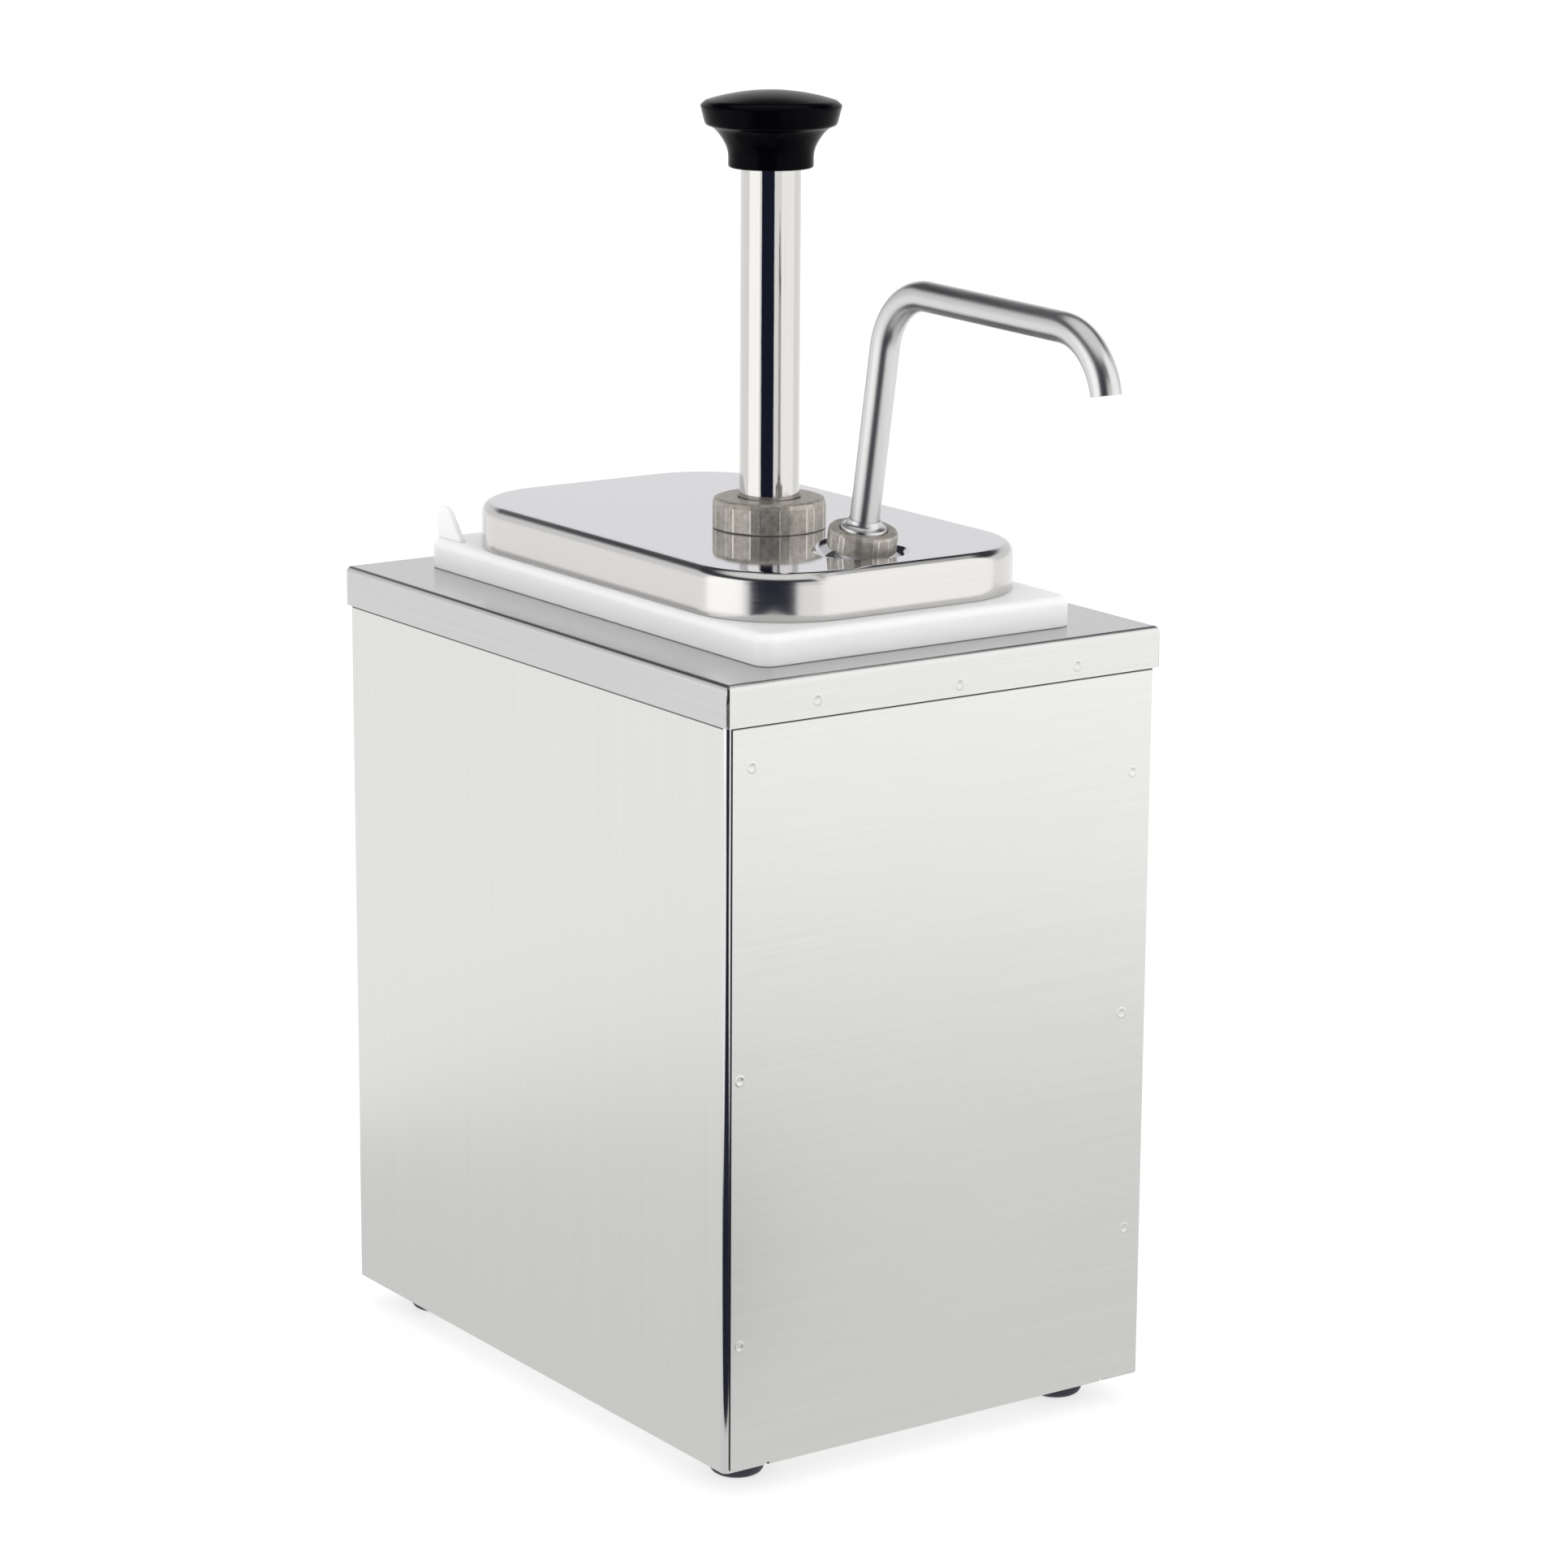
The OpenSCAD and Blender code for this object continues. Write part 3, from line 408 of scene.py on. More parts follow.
# %% Steel materials
def steel(name, colour, roughness, stretch, spread=0.1, fineness=9000.0, bump=0.02, streak=0.04,
          welds=(), seam=None):
    """Steel with its grain along the axis whose stretch is small, and a painted shadow just under a seam's
    height.
    """
    material = bpy.data.materials.new(name)
    material.use_nodes = True
    tree = material.node_tree
    shader = tree.nodes["Principled BSDF"]
    shader.inputs["Metallic"].default_value = 1
    place = node(tree, "TexCoord").outputs["Object"]
    grain = tree.nodes.new("ShaderNodeGroup")
    grain.node_tree = grain_tree
    tree.links.new(place, grain.inputs["Place"])
    grain.inputs["Stretch"].default_value = stretch
    grain.inputs["Fineness"].default_value = fineness
    grain.inputs["Roughness"].default_value = roughness
    grain.inputs["Roughness Spread"].default_value = spread
    tree.links.new(grain.outputs["Roughness"], shader.inputs["Roughness"])
    tint = node(tree, "Mix", {"Factor": grain.outputs["Streak"]}, data_type="RGBA")
    tint.inputs["A"].default_value = (*[c * (1 - streak) for c in colour], 1)
    tint.inputs["B"].default_value = (*[min(1, c * (1 + streak)) for c in colour], 1)
    colour_out = tint.outputs["Result"]
    # painted shadow: from just under the seam's height upwards the colour turns near black, in place of the
    # shade under the cover's skirt
    if seam is not None:
        height = node(tree, "SeparateXYZ", {0: place}).outputs["Z"]
        near = node(tree, "MapRange", {"Value": height, "From Min": seam - 0.0010, "From Max": seam - 0.0006})
        skirt_shadow = node(tree, "Mix", {"Factor": near.outputs["Result"], "A": colour_out}, data_type="RGBA")
        skirt_shadow.inputs["B"].default_value = (0.05, 0.045, 0.04, 1)
        colour_out = skirt_shadow.outputs["Result"]
    tree.links.new(colour_out, shader.inputs["Base Color"])
    surface = node(tree, "Bump", {"Height": grain.outputs["Height"], "Strength": bump, "Distance": 0.0002})
    if welds:
        total = None
        for spot in welds:
            ring = tree.nodes.new("ShaderNodeGroup")
            ring.node_tree = weld_tree
            tree.links.new(place, ring.inputs["Place"])
            ring.inputs["Middle"].default_value = spot
            height = ring.outputs["Height"]
            total = height if total is None else sums(tree, "ADD", total, height)
        dents = node(tree, "Bump", {"Height": total, "Strength": 0.5, "Distance": 0.0004})
        tree.links.new(dents.outputs["Normal"], surface.inputs["Normal"])
    tree.links.new(surface.outputs["Normal"], shader.inputs["Normal"])
    return material


front_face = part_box("front_panel")[0].y
panel_welds = [(x * MM, front_face, cover_top + z * MM) for x, z in
               ((-79.7, -28.4), (-84.0, -134.4), (-83.8, -227.2),
                (79.7, -50.3), (77.2, -136.5), (80.6, -216.1))]
skirt_welds = [(x * MM, cover_low.y, cover_top + z * MM) for x, z in
               ((-54.3, -8.7), (3.8, -10.4), (53.8, -9.8))]
UPRIGHT, CROSSWISE, LENGTHWISE = (1, 1, 0.006), (0.006, 1, 1), (1, 0.006, 1)
# the seam argument paints the shadow under the cover's skirt onto the side and the front sheets
side_steel = steel("side_steel", (0.685, 0.680, 0.665), 0.34, UPRIGHT, streak=0.04, bump=0.03,
                   seam=cover_low.z)
bend_steel = steel("bend_steel", (0.66, 0.66, 0.66), 0.13, UPRIGHT, streak=0.05, bump=0.02)
# painted shade: a near-black steel for the front sheet's cut edges, in place of the shadow in the gap at each
# corner
painted_gap_shade = steel("painted_gap_shade", (0.05, 0.05, 0.055), 0.5, (1, 1, 1), bump=0.02)
front_steel = steel("front_steel", (0.695, 0.690, 0.672), 0.33, CROSSWISE, welds=panel_welds,
                    streak=0.05, bump=0.05, seam=cover_low.z)
cover_steel = steel("cover_steel", (0.565, 0.560, 0.560), 0.20, LENGTHWISE, streak=0.06, bump=0.02)
cover_front_steel = steel("cover_front_steel", (0.64, 0.635, 0.62), 0.26, CROSSWISE, welds=skirt_welds,
                          streak=0.06, bump=0.05)
lid_steel = steel("lid_steel", (0.665, 0.660, 0.680), 0.06, (1, 0.02, 1), spread=0.04, bump=0.004,
                  streak=0.01)
lid_wall_steel = steel("lid_wall_steel", (0.63, 0.62, 0.605), 0.19, (0.02, 0.02, 1), spread=0.10, bump=0.015)
bright_tube = steel("bright_tube", (0.585, 0.575, 0.56), 0.06, (1, 1, 0.01), spread=0.10, bump=0.02,
                    streak=0.05)
satin_tube = steel("satin_tube", (0.62, 0.615, 0.61), 0.30, (1, 0.1, 0.1), spread=0.10,
                   fineness=5000, bump=0.02)
machined_steel = steel("machined_steel", (0.60, 0.60, 0.60), 0.30, (1, 1, 1), spread=0.12, bump=0.01)
print("steels made")

# %% [markdown]
# ### Cast metal, plastics and rubber
#
# The two nuts are cast and only tumbled, so they are dull, brown-grey and pitted, with raised
# edges rubbed brighter. The jar is a milky plastic that lets a little light in. The knob is
# glossy and nearly black, and the feet are dull rubber.

# %% The cast surface group
cast_tree, ci, co = group_of(
    "cast_surface",
    [("NodeSocketVector", "Place", (0, 0, 0)), ("NodeSocketFloat", "Grit", 1500.0)],
    [("NodeSocketFloat", "Height"), ("NodeSocketFloat", "Stain")])
grit = node(cast_tree, "TexNoise", {"Vector": ci.outputs["Place"], "Scale": ci.outputs["Grit"],
                                    "Detail": 4.0, "Roughness": 0.7})
pit_scale = sums(cast_tree, "MULTIPLY", ci.outputs["Grit"], 0.6)
pits = node(cast_tree, "TexVoronoi", {"Vector": ci.outputs["Place"], "Scale": pit_scale})
blotch_scale = sums(cast_tree, "MULTIPLY", ci.outputs["Grit"], 0.3)
blotch = node(cast_tree, "TexNoise", {"Vector": ci.outputs["Place"], "Scale": blotch_scale, "Detail": 3.0})
cast_tree.links.new(sums(cast_tree, "MULTIPLY_ADD", pits.outputs["Distance"], 0.6, grit.outputs["Fac"]),
                    co.inputs["Height"])
half_grit = sums(cast_tree, "MULTIPLY", grit.outputs["Fac"], 0.5)
stain_mix = sums(cast_tree, "MULTIPLY_ADD", blotch.outputs["Fac"], 0.7, half_grit)
cast_tree.links.new(sums(cast_tree, "SUBTRACT", stain_mix, 0.1), co.inputs["Stain"])


def cast(name, dark, light, roughness=0.45, bump=0.35, metallic=0.4):
    material = bpy.data.materials.new(name)
    material.use_nodes = True
    tree = material.node_tree
    shader = tree.nodes["Principled BSDF"]
    shader.inputs["Metallic"].default_value = metallic
    place = node(tree, "TexCoord").outputs["Object"]
    surface = tree.nodes.new("ShaderNodeGroup")
    surface.node_tree = cast_tree
    tree.links.new(place, surface.inputs["Place"])
    ramp = node(tree, "ValToRGB", {"Fac": surface.outputs["Stain"]})
    ramp.color_ramp.elements[0].position, ramp.color_ramp.elements[0].color = 0.36, (*dark, 1)
    ramp.color_ramp.elements[1].position, ramp.color_ramp.elements[1].color = 0.66, (*light, 1)
    tree.links.new(ramp.outputs["Color"], shader.inputs["Base Color"])
    tree.links.new(sums(tree, "MULTIPLY_ADD", surface.outputs["Stain"], 0.25, roughness - 0.12),
                   shader.inputs["Roughness"])
    dents = node(tree, "Bump", {"Height": surface.outputs["Height"], "Strength": bump, "Distance": 0.0003})
    tree.links.new(dents.outputs["Normal"], shader.inputs["Normal"])
    return material


def moulded(name, colour, roughness, grit=700.0, bump=0.03, variation=0.03, specular=0.5, milky=0.0):
    """Moulded plastic or rubber: an almost even colour with a fine uneven skin."""
    material = bpy.data.materials.new(name)
    material.use_nodes = True
    tree = material.node_tree
    shader = tree.nodes["Principled BSDF"]
    shader.inputs["Specular IOR Level"].default_value = specular
    if milky:
        shader.inputs["Subsurface Weight"].default_value = milky
        shader.inputs["Subsurface Radius"].default_value = (0.010, 0.010, 0.011)
        shader.inputs["Subsurface Scale"].default_value = 0.3
    place = node(tree, "TexCoord").outputs["Object"]
    skin = node(tree, "TexNoise", {"Vector": place, "Scale": grit, "Detail": 2.0})
    cloudy = node(tree, "TexNoise", {"Vector": place, "Scale": 30.0, "Detail": 3.0})
    tint = node(tree, "Mix", {"Factor": cloudy.outputs["Fac"]}, data_type="RGBA")
    tint.inputs["A"].default_value = (*[c * (1 - variation) for c in colour], 1)
    tint.inputs["B"].default_value = (*[min(1, c * (1 + variation)) for c in colour], 1)
    tree.links.new(tint.outputs["Result"], shader.inputs["Base Color"])
    tree.links.new(sums(tree, "MULTIPLY_ADD", cloudy.outputs["Fac"], 0.12, roughness - 0.06),
                   shader.inputs["Roughness"])
    surface = node(tree, "Bump", {"Height": skin.outputs["Fac"], "Strength": bump, "Distance": 0.0003})
    tree.links.new(surface.outputs["Normal"], shader.inputs["Normal"])
    return material


cast_nut_metal = cast("cast_nut_metal", (0.36, 0.335, 0.29), (0.56, 0.53, 0.475), roughness=0.42, bump=0.10,
                      metallic=0.75)
rubbed_metal = cast("rubbed_metal", (0.66, 0.64, 0.60), (0.82, 0.80, 0.76), roughness=0.30, bump=0.05,
                    metallic=0.9)
cast_pump_metal = cast("cast_pump_metal", (0.25, 0.25, 0.25), (0.45, 0.45, 0.45), bump=0.15)
jar_plastic = moulded("jar_plastic", (0.93, 0.93, 0.94), 0.38, milky=0.4, variation=0.01)
knob_plastic = moulded("knob_plastic", (0.001, 0.001, 0.002), 0.2, grit=1500, bump=0.01, specular=0.03)
foot_rubber = moulded("foot_rubber", (0.012, 0.014, 0.028), 0.55, grit=1800, bump=0.15)
seal_rubber = moulded("seal_rubber", (0.03, 0.03, 0.03), 0.6, bump=0.1)
white_nylon = moulded("white_nylon", (0.75, 0.74, 0.70), 0.5)
brass = steel("brass", (0.70, 0.50, 0.22), 0.25, (1, 1, 1))
print("plastics made")

# %% [markdown]
# ## The cabinet's folded sheets
#
# The left side, the back and the right side are one sheet, with a flange turned in at each end.
# It is folded here as a press would: an edge runs straight, bends round a corner, and runs on.
# Solidify then gives the sheet its 0.9 mm, so its cut edges show where the real ones do.

# %% The wrapped body
SHEET, BEND, FLANGE = 0.9, 2.2, 16


def wrap_body():
    low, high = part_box("cabinet_wrap")
    r = BEND * MM
    flange = FLANGE * MM - r
    bm = bmesh.new()
    ends = [bm.verts.new((low.x + r + flange, low.y, z)) for z in (low.z, high.z)]
    edge = bm.edges.new(ends)
    legs = [((-1, 0, 0), flange, (low.x + r, low.y + r)),
            ((0, 1, 0), high.y - low.y - 2 * r, (low.x + r, high.y - r)),
            ((1, 0, 0), high.x - low.x - 2 * r, (high.x - r, high.y - r)),
            ((0, -1, 0), high.y - low.y - 2 * r, (high.x - r, low.y + r))]
    for way, length, centre in legs:
        edge = run_on(bm, edge, way, length)
        edge = bend(bm, edge, (*centre, 0), (0, 0, 1), -90)
    run_on(bm, edge, (-1, 0, 0), flange)
    for face in bm.faces:
        if max(abs(face.normal.x), abs(face.normal.y)) < 0.995:    # the bends are rubbed smoother
            face.material_index = 1
    side = Vector((low.x, (low.y + high.y) / 2, (low.z + high.z) / 2))
    piece = finished("body_sheet", bm, "cabinet", [side_steel, bend_steel], ["cabinet_wrap"],
                     outward=(side, Vector((-1, 0, 0))))
    return thicken(piece, SHEET)


wrap_body()

# %% [markdown]
# The front is a sheet of its own. It lies over the flanges and stops short of the body's sides,
# leaving a line at each corner, where its cut edges are painted near black as the shade in that gap. Its lower
# edge is folded under.

# %% The front panel
FOLD, PANEL_INSET = 1.1, 1.8


def front_sheet():
    low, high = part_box("front_panel")
    r = FOLD * MM
    half_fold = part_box("cabinet_wrap")[1].x - (FLANGE + PANEL_INSET) * MM
    bm = bmesh.new()
    foot = bm.edges.new([bm.verts.new((s * half_fold, low.y, low.z + r)) for s in (-1, 1)])
    top = run_on(bm, foot, (0, 0, 1), high.z - low.z - r)
    for s in (-1, 1):
        upright = next(e for e in bm.edges if all(abs(v.co.x - s * half_fold) < 1e-6 for v in e.verts))
        run_on(bm, upright, (s, 0, 0), high.x - half_fold)
    fold = bend(bm, foot, (0, low.y + r, low.z + r), (1, 0, 0), 90)
    run_on(bm, fold, (0, 1, 0), high.y - low.y - r)
    face = Vector((0, low.y, (low.z + high.z) / 2))
    # the cut edges take the near-black painted shade of the corner gaps
    piece = finished("front_sheet", bm, "cabinet", [front_steel, painted_gap_shade],
                     ["front_panel"], outward=(face, Vector((0, -1, 0))))
    return thicken(piece, SHEET, cut_edge=1)


front_sheet()

# %% [markdown]
# The cover is one sheet with a hole for the jar and four sides turned down. Each side bends by
# itself, so the corners stay open in a narrow slit. The front and the back carry their own
# material, because their grain runs the other way.

# %% The cover
COVER_BEND, SLIT = 2.0, 0.8
OPENING, OPENING_CORNER = (60.5, 97.5), 29.5


def cover():
    r = COVER_BEND * MM
    slit = SLIT * MM
    low, high = cover_low, cover_high
    half = ((high.x - low.x) / 2, (high.y - low.y) / 2)
    bm = bmesh.new()
    hole = outline(bm, OPENING, OPENING_CORNER, cover_top / MM)
    flat = [bm.verts.new((middle.x + sx * (half[0] - r), middle.y + sy * (half[1] - r), cover_top))
            for sx, sy in ((-1, -1), (1, -1), (1, 1), (-1, 1))]
    sides = [bm.edges.new((flat[i], flat[(i + 1) % 4])) for i in range(4)]
    bmesh.ops.triangle_fill(bm, edges=hole + sides, use_beauty=True, use_dissolve=False, normal=(0, 0, 1))
    drop = cover_top - low.z - r
    for edge, (ox, oy) in zip(sides, ((0, -1), (1, 0), (0, 1), (-1, 0))):
        out = Vector((ox, oy, 0))
        centre = Vector((middle.x + ox * (half[0] - r), middle.y + oy * (half[1] - r), cover_top - r))
        before = set(bm.verts)
        last = bend(bm, edge, centre, out.cross(Vector((0, 0, 1))), -90)
        run_on(bm, last, (0, 0, -1), drop)
        along = Vector((abs(oy), abs(ox), 0))
        for vert in set(bm.verts) - before:    # the side grows past the bend's ends, up to the slit
            share = min(1, (vert.co - centre).dot(out) / r)
            vert.co += along * math.copysign((r - slit) * share, (vert.co - middle).dot(along))
    for face in bm.faces:
        if abs(face.normal.y) > 0.7:
            face.material_index = 1
    piece = finished("cover_sheet", bm, "cabinet", [cover_steel, cover_front_steel],
                     ["top_cover"], outward=(Vector((low.x + 8 * MM, middle.y, cover_top)), Vector((0, 0, 1))))
    return thicken(piece, SHEET)


cover()

# %% [markdown]
# ## The jar
#
# The jar is moulded, with a thick rim that turns down over the cover, a low lip that the lid
# fits over, and walls that narrow a little to let it leave its mould. It is one closed stack of
# outlines, from the floor inside, over the rim, to the floor outside.

# %% The jar's stack of outlines
LEVEL = 0.02      # two loops at exactly one height would be bridged crosswise
WALL = 2.5
RIM, RIM_CORNER, RIM_EDGE = (65, 108), 6, 3.2


EAR_OUT, EAR_BACK, EAR_ROUND, EAR_SOFT = 60.25, 107, 3.0, 0.6


def rim_outline(inset, z):
    """The rim's outline, moved inwards; its flat top and its inside are insets too."""
    return (RIM[0] - inset, RIM[1] - inset), RIM_CORNER - inset, z


def jar():
    low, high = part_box("jar")
    seat = lid_seat / MM            # the rim's flat top
    rest = cover_top / MM           # the foot of the turned-down rim
    base = low.z / MM
    bm = bmesh.new()
    stack = [((46.5, 83.5), 21.5, base + WALL)]
    stack += [((46.5 + out, 83.5 + out), 21.5 + out, base + WALL + rise)
              for rise, out in rounding(6, 4)]
    stack += [((56.5, 93.5), 29.5, seat + 2.5), ((57.1, 94.1), 30.1, seat + 3.0),
              ((58.4, 95.4), 31.4, seat + 3.0 - LEVEL), ((59.0, 96.0), 32.0, seat + 2.2),
              ((59.0, 96.0), 32.0, seat + 0.4), ((59.4, 96.4), 31.5, seat)]
    stack += [rim_outline(RIM_EDGE + 0.8, seat - LEVEL), rim_outline(RIM_EDGE, seat - 2 * LEVEL)]
    stack += [rim_outline(RIM_EDGE - out, seat - fall) for fall, out in rounding(RIM_EDGE, 5)]
    stack += [rim_outline(0, rest + 0.4), rim_outline(0.4, rest), rim_outline(WALL, rest + LEVEL),
              rim_outline(WALL, seat - WALL - LEVEL), ((59.0, 96.0), 32.0, seat - WALL)]
    stack += [((55.0, 92.0), 30.0, base + 6), ((53.4, 90.4), 28.4, base + 1.8), ((49.0, 86.0), 24.0, base)]
    loops = [outline(bm, half, corner, z) for half, corner, z in stack]
    bridge_all(bm, loops)
    bmesh.ops.edgeloop_fill(bm, edges=loops[0])
    bmesh.ops.edgeloop_fill(bm, edges=loops[-1])
    for s in (-1, 1):
        ear(bm, middle + Vector((s * EAR_OUT * MM, EAR_BACK * MM, lid_seat)), high.z / MM - seat)
    return even(finished("jar_moulding", bm, "jar", [jar_plastic], ["jar"], sharp=50))


def ear(bm, place, rise):
    """A thin fin with an upright back edge and a rounded top that slopes down to the front."""
    before = set(bm.verts)
    across = WALL * MM
    corners = [bm.verts.new(place + Vector((-across / 2, y * MM, z * MM))) for y, z in
               ((0, -0.5), (0, rise), (-7.0, rise), (-15.8, 0.4), (-16.5, -0.5))]
    bm.faces.new(corners)
    bmesh.ops.bevel(bm, geom=corners[1:3], offset=EAR_ROUND * MM, offset_type="OFFSET", segments=7, profile=0.5,
                    affect="VERTICES", material=-1)
    face = next(f for f in bm.faces if not (set(f.verts) & before))
    grown = bmesh.ops.extrude_face_region(bm, geom=[face])["geom"]
    bmesh.ops.translate(bm, verts=[g for g in grown if isinstance(g, bmesh.types.BMVert)], vec=(across, 0, 0))
    outer = [e for e in bm.edges if not (set(e.verts) & before) and len(e.link_faces) == 2
             and abs(e.verts[0].co.x - e.verts[1].co.x) < 1e-6 and max(v.co.z for v in e.verts) > place.z]
    bmesh.ops.bevel(bm, geom=outer, offset=EAR_SOFT * MM, offset_type="OFFSET", segments=3, profile=0.5,
                    affect="EDGES", material=-1)


jar()

# %% [markdown]
# ## The lid
#
# The lid is a deep-drawn pan turned upside down. Its top is polished like a mirror, so a few
# flat outlines near the edge keep the reflection straight there. A round dish is pressed into it,
# leaning forward with the outlet, so its front sinks below the top and its back stands above it.

# %% The pan and its dish
LID_EDGE, LID_CORNER = 4.2, 35.5
PORT_HOLE = 9.25
OUTLET_NUT = (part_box("discharge_nut")[1].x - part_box("discharge_nut")[0].x) / MM
DISH = OUTLET_NUT / 2 + 3.2


def lid():
    low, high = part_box("lid")
    half = ((high.x - low.x) / 2 / MM, (high.y - low.y) / 2 / MM)
    centre = Vector(((low.x + high.x) / 2, (low.y + high.y) / 2, 0))
    seat, top = lid_seat / MM, lid_top / MM
    bm = bmesh.new()
    stack = [(0.5, seat), (0.0, seat + 0.5), (0.0, seat + 3), (0.0, top - LID_EDGE - 0.5),
             (0.0, top - LID_EDGE)]
    stack += [(inset, top - LID_EDGE + rise) for inset, rise in rounding(LID_EDGE, 8)]
    stack[-1] = (LID_EDGE, top - 2 * LEVEL)
    stack += [(LID_EDGE + 0.8, top - LEVEL), (LID_EDGE + 2.5, top)]
    loops = [outline(bm, (half[0] - i, half[1] - i), LID_CORNER - i, z, centre) for i, z in stack]
    bridge_all(bm, loops)
    on_lid = Matrix.Translation(port)
    ring = circle(bm, DISH + 2.6, 0, on_lid)
    bmesh.ops.triangle_fill(bm, edges=loops[-1] + ring, use_beauty=True, use_dissolve=False, normal=(0, 0, 1))
    dish = [ring, circle(bm, DISH + 1.4, -LEVEL, on_lid), circle(bm, DISH + 0.5, -0.5, at_port),
            circle(bm, DISH - 0.1, -1.0, at_port), circle(bm, DISH - 0.9, -1.2 + LEVEL, at_port),
            circle(bm, DISH - 1.8, -1.2, at_port), circle(bm, PORT_HOLE, -1.2 - LEVEL, at_port)]
    bridge_all(bm, dish)
    wall_top = (top - LID_EDGE * 0.08) * MM
    for face in bm.faces:
        spot = face.calc_center_median()
        if spot.z < wall_top and (spot.xy - port.xy).length > 20 * MM:
            face.material_index = 1
    piece = finished("lid_pan", bm, "pump", [lid_steel, lid_wall_steel], ["lid"], sharp=60,
                     outward=(Vector((centre.x, centre.y + 60 * MM, lid_top)), Vector((0, 0, 1))))
    return thicken(piece, SHEET)


lid()

# %% [markdown]
# ## The cast nuts
#
# Each nut is a twelve-sided casting whose corners are cut to narrow flats, so wide and narrow
# flats take turns. Its top edge is rounded off, and its upright edges are rubbed bright.

# %% Cast nuts
def cast_nut(name, across, height, bore, turn, place, corner_cut, edge, replaces):
    bm = bmesh.new()
    bmesh.ops.create_cone(bm, cap_ends=True, cap_tris=False, segments=12, radius1=across / 2 * MM,
                          radius2=across / 2 * MM, depth=height * MM,
                          matrix=Matrix.Rotation(math.radians(turn), 4, "Z")
                          @ Matrix.Translation((0, 0, height / 2 * MM)))
    upright = [e for e in bm.edges if abs(e.verts[0].co.z - e.verts[1].co.z) > height / 2 * MM]
    bmesh.ops.bevel(bm, geom=upright, offset=corner_cut * MM, offset_type="OFFSET", segments=1, profile=0.5,
                    affect="EDGES", material=-1)
    rims = [(list(f.edges), edge if f.normal.z > 0 else 0.5) for f in bm.faces if abs(f.normal.z) > 0.9]
    for rim, size in rims:
        bmesh.ops.bevel(bm, geom=rim, offset=size * MM, offset_type="OFFSET", segments=2, profile=0.5,
                        affect="EDGES", material=-1)
    soften = [e for e in bm.edges if abs(e.verts[0].co.z - e.verts[1].co.z) > height * 0.5 * MM]
    rubbed = bmesh.ops.bevel(bm, geom=soften, offset=0.22 * MM, offset_type="OFFSET", segments=1, profile=0.5,
                             affect="EDGES", material=-1)
    for face in rubbed["faces"]:
        face.material_index = 1
    bore_rings = []
    for z, inward in ((0, 1), (height, -1)):
        flat = [f for f in bm.faces if abs(f.calc_center_median().z - z * MM) < 1e-6]
        cap = max(flat, key=lambda f: f.calc_area())
        border = list(cap.edges)
        bmesh.ops.delete(bm, geom=[cap], context="FACES_ONLY")
        mouth = circle(bm, bore / 2 + 0.5, z, Matrix.Identity(4), 48)
        bmesh.ops.triangle_fill(bm, edges=border + mouth, use_beauty=True, use_dissolve=False,
                                normal=(0, 0, 1))
        throat = circle(bm, bore / 2, z + inward * 0.5, Matrix.Identity(4), 48)
        bmesh.ops.bridge_loops(bm, edges=mouth + throat)
        bore_rings.append(throat)
    bmesh.ops.bridge_loops(bm, edges=bore_rings[0] + bore_rings[1])
    bmesh.ops.transform(bm, matrix=place, verts=bm.verts)
    return finished(name, bm, "pump", [cast_nut_metal, rubbed_metal], replaces, sharp=4)


nut_low, nut_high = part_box("pump_nut")
CUT = 0.98      # cutting the corners leaves a nut this much smaller
cast_nut("lock_nut_casting", (nut_high.x - nut_low.x) / MM / CUT, (nut_high.z - nut_low.z) / MM, 22.0, 11.5,
         at_pump @ Matrix.Translation((0, 0, lid_top)), 1.9, 2.0, ["pump_nut"])
cast_nut("outlet_nut_casting", OUTLET_NUT / CUT, 7.2, 16.4, 17.3,
         at_port @ Matrix.Translation((0, 0, 1.0 * MM)), 1.0, 1.2,
         ["discharge_nut"])

# %% [markdown]
# ## The tubes
#
# The upright tube is turned. The outlet tube is one circle that runs on and bends twice, which is
# how a bender makes it. Both have a real wall, which shows at the outlet's open end.

# %% The upright tube and the knob
def plunger_tube():
    bm = bmesh.new()
    radius, wall, edge = (tube_high.x - tube_low.x) / 2 / MM, 1.2, 0.3
    low, high = tube_low.z / MM, tube_high.z / MM
    turned(bm, [(radius - wall, low), (radius - edge, low), (radius, low + edge), (radius, high),
                (radius - wall, high), (radius - wall, low)], at_pump)
    return finished("plunger_sleeve", bm, "plunger", [bright_tube], ["plunger_tube"])


plunger_tube()


def knob():
    low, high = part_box("knob")
    base = low.z / MM
    crown = high.z / MM
    dome, brow = 74.0, 23.1
    bm = bmesh.new()
    profile = [(r, base + z) for r, z in
               ((0, 12), (10.6, 12), (10.6, 0.3), (10.9, 0), (14.3, 0), (14.76, 0.5), (14.76, 3.6),
                (14.95, 5.4), (15.5, 7.2), (16.3, 8.8), (17.3, 10.4), (18.4, 11.9), (19.6, 13.1), (20.6, 13.9), (22.3, 14.5),
                (22.75, 14.9), (23.1, 15.8), (24.2, 20.2), (24.4, 20.9), (24.3, 21.4), (23.4, 22.2))]
    fall = dome - math.sqrt(dome * dome - brow * brow)
    profile += [(brow * s, crown - dome + math.sqrt(dome * dome - (brow * s) ** 2))
                for s in (0.985, 0.9, 0.75, 0.55, 0.35, 0.15)]
    profile += [(0, crown)]
    turned(bm, profile, at_pump, 128)
    print("knob's dome falls", round(fall, 2), "mm to its edge")
    return finished("knob_moulding", bm, "plunger", [knob_plastic], ["knob"], sharp=40)


knob()

# %% The outlet tube
TUBE_RADIUS, TUBE_BEND = 5.125, 24.0
FIRST_TURN, SECOND_TURN, RUN, RISE = 81.2, 77.0, 72.0, 91.3


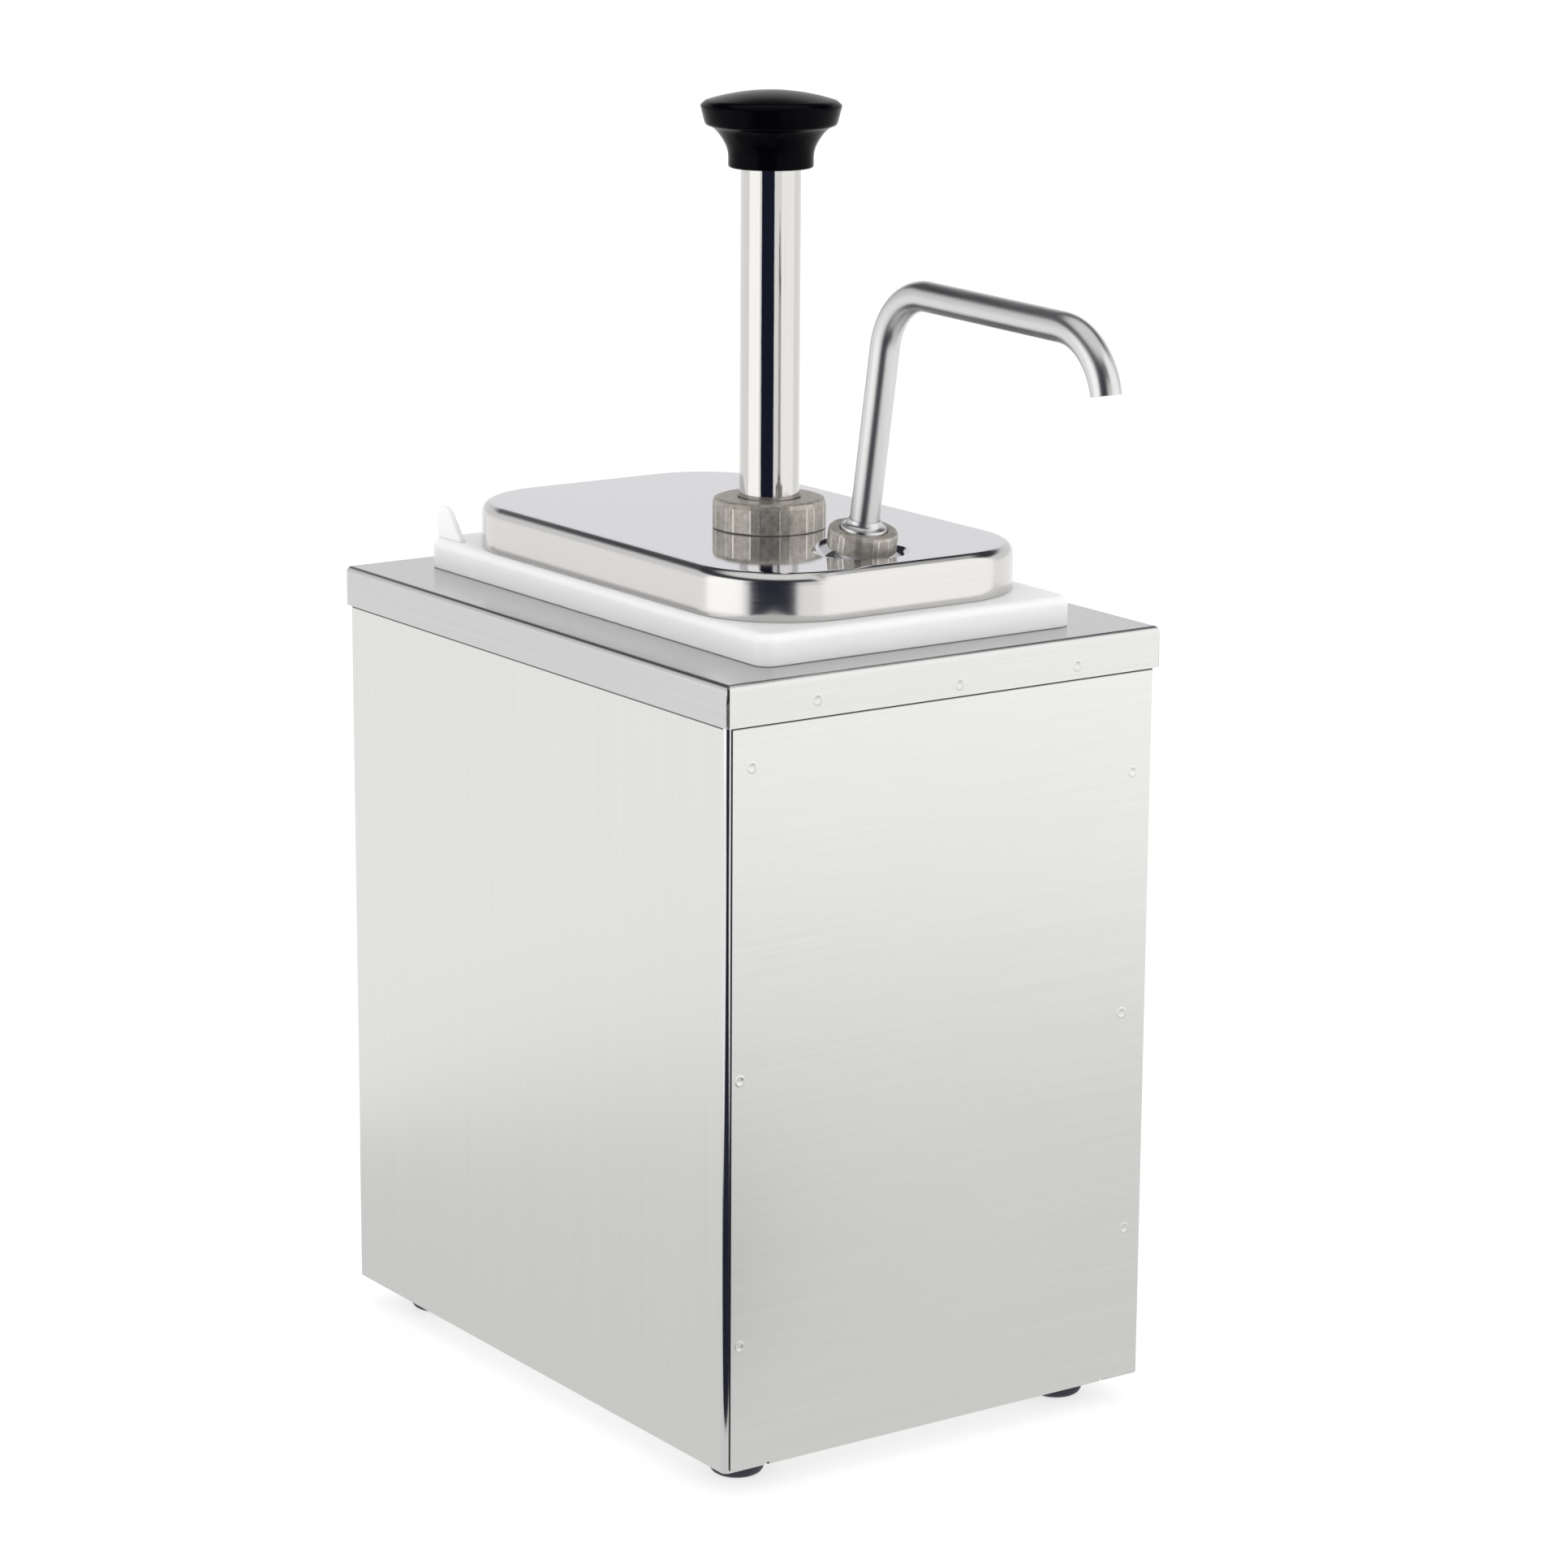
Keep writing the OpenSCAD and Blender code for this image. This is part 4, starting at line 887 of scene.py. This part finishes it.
def outlet_tube():
    start = 5.0
    lean_deg = math.degrees(lean)
    straight = RISE / math.cos(lean) - TUBE_BEND * math.tan(math.radians(FIRST_TURN / 2))
    bm = bmesh.new()
    made = bmesh.ops.create_circle(bm, cap_ends=False, segments=40, radius=TUBE_RADIUS * MM,
                                   matrix=at_port @ Matrix.Translation((0, 0, start * MM)))
    ring = list({e for v in made["verts"] for e in v.link_edges})
    spot, turn = at_port @ Vector((0, 0, start * MM)), lean_deg

    def heading(degrees):
        a = math.radians(degrees)
        return Vector((0, -math.sin(a), math.cos(a)))

    def straight_on(ring, spot, length):
        made = bmesh.ops.extrude_edge_only(bm, edges=ring)["geom"]
        verts = [g for g in made if isinstance(g, bmesh.types.BMVert)]
        bmesh.ops.translate(bm, verts=verts, vec=heading(turn) * length * MM)
        fresh = [g for g in made if isinstance(g, bmesh.types.BMEdge) and set(g.verts) <= set(verts)]
        return fresh, spot + heading(turn) * length * MM

    def curve_on(ring, spot, degrees, steps):
        inward = heading(turn + 90)
        centre = spot + inward * TUBE_BEND * MM
        verts = list({v for e in ring for v in e.verts})
        made = bmesh.ops.spin(bm, geom=verts + ring, cent=centre, axis=(1, 0, 0), dvec=(0, 0, 0),
                              angle=math.radians(degrees), steps=steps, use_merge=False, use_duplicate=False)
        fresh = [g for g in made["geom_last"] if isinstance(g, bmesh.types.BMEdge)]
        return fresh, centre - heading(turn + degrees + 90) * TUBE_BEND * MM

    ring, spot = straight_on(ring, spot, straight - start)
    ring, spot = curve_on(ring, spot, FIRST_TURN, 26)
    turn += FIRST_TURN
    ring, spot = straight_on(ring, spot, RUN)
    ring, spot = curve_on(ring, spot, SECOND_TURN, 24)
    print("outlet ends at", [round(v / MM, 1) for v in spot])
    foot = at_port @ Vector((0, -TUBE_RADIUS * MM, (start + 5) * MM))
    piece = finished("outlet_tube", bm, "pump", [satin_tube], ["discharge_tube"],
                     outward=(foot, Vector((0, -1, 0))))
    return thicken(piece, SHEET)


outlet_tube()

# %% The collar under the outlet tube
def ferrule():
    bm = bmesh.new()
    turned(bm, [(5.17, 5.0), (9.0, 5.0), (9.0, 6.2), (8.0, 6.2), (8.0, 8.5), (7.75, 9.0), (7.2, 9.2),
                (6.6, 9.4), (6.1, 9.9), (5.75, 10.6), (5.5, 11.5), (5.17, 11.5), (5.17, 5.0)], at_port, 64)
    return finished("outlet_collar", bm, "pump", [satin_tube], ["discharge_ferrule"])


ferrule()

# % [markdown]
# ## The return spring
#
# The spring is one ring of wire that climbs as it turns, over the measured spring's height.

# % The spring
COILS, STEPS, WIRE_RADIUS = 8, 288, 0.9


def return_spring():
    low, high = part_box("return_spring")
    wire = WIRE_RADIUS * MM
    reach = (high.x - low.x) / 2 - wire
    seat = Vector((pump_axis.x, pump_axis.y, low.z))
    bm = bmesh.new()
    bmesh.ops.create_circle(bm, cap_ends=False, segments=12, radius=wire,
                            matrix=Matrix.Translation(seat + Vector((reach, 0, wire)))
                            @ Matrix.Rotation(math.pi / 2, 4, "X"))
    climb = (high.z - low.z - 2 * wire) / STEPS
    bmesh.ops.spin(bm, geom=bm.verts[:] + bm.edges[:], cent=seat, axis=(0, 0, 1), dvec=(0, 0, climb),
                   angle=COILS * math.tau, steps=STEPS, use_merge=False, use_duplicate=False)
    bmesh.ops.holes_fill(bm, edges=[e for e in bm.edges if e.is_boundary], sides=0)
    coil = finished("spring_coil", bm, "pump", [machined_steel], ["return_spring"])
    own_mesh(coil)
    return coil


return_spring()

# % [markdown]
# ## The feet
#
# Four turned rubber feet with a rounded lower edge and a recess for the screw's head.

# %% Rubber feet
def foot(name):
    low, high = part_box(name)
    place = Matrix.Translation(((low.x + high.x) / 2, (low.y + high.y) / 2, 0))
    r, top = (high.x - low.x) / 2 / MM, high.z / MM
    bm = bmesh.new()
    profile = [(2.2, top), (r - 0.2, top), (r, top - 0.3), (r, 3.0)]
    profile += [(r - 3 + 3 * math.cos(a), 3 - 3 * math.sin(a)) for a in (0.4, 0.8, 1.2, math.pi / 2)]
    profile += [(4.5, 0.0), (4.2, 0.3), (4.2, 4.0), (2.2, 4.0), (2.2, top)]
    turned(bm, profile, place, 48)
    return finished(name + "_moulding", bm, "cabinet", [foot_rubber], [name])


for name in ("foot_front_left", "foot_front_right", "foot_back_left", "foot_back_right"):
    foot(name)

# %% [markdown]
# ## The measured pieces that stay
#
# The inner pieces are already the right shape. Each only needs its finish, in place of the plain
# one that it came with.

# %% Finishes on the measured pieces
finishes = {
    machined_steel: ("foot_screws", "foot_washers", "foot_nuts", "pump_barrel", "inlet_nozzle", "spring_seat",
                     "discharge_fitting", "tube_plug", "stop_collar", "piston_screw"),
    side_steel: ("base_plate",),
    cast_pump_metal: ("manifold",),
    bright_tube: ("riser_tube", "inlet_ball", "outlet_ball"),
    white_nylon: ("guide_bush", "piston"),
    seal_rubber: ("lid_gasket", "nozzle_oring", "fitting_gasket", "discharge_washer", "piston_seal"),
    brass: ("knob_insert",),
}
for material, names in finishes.items():
    for name in names:
        mesh = frame["nodes"][name].data
        mesh.materials.clear()
        mesh.materials.append(material)
print("finished", sum(len(n) for n in finishes.values()), "measured pieces")
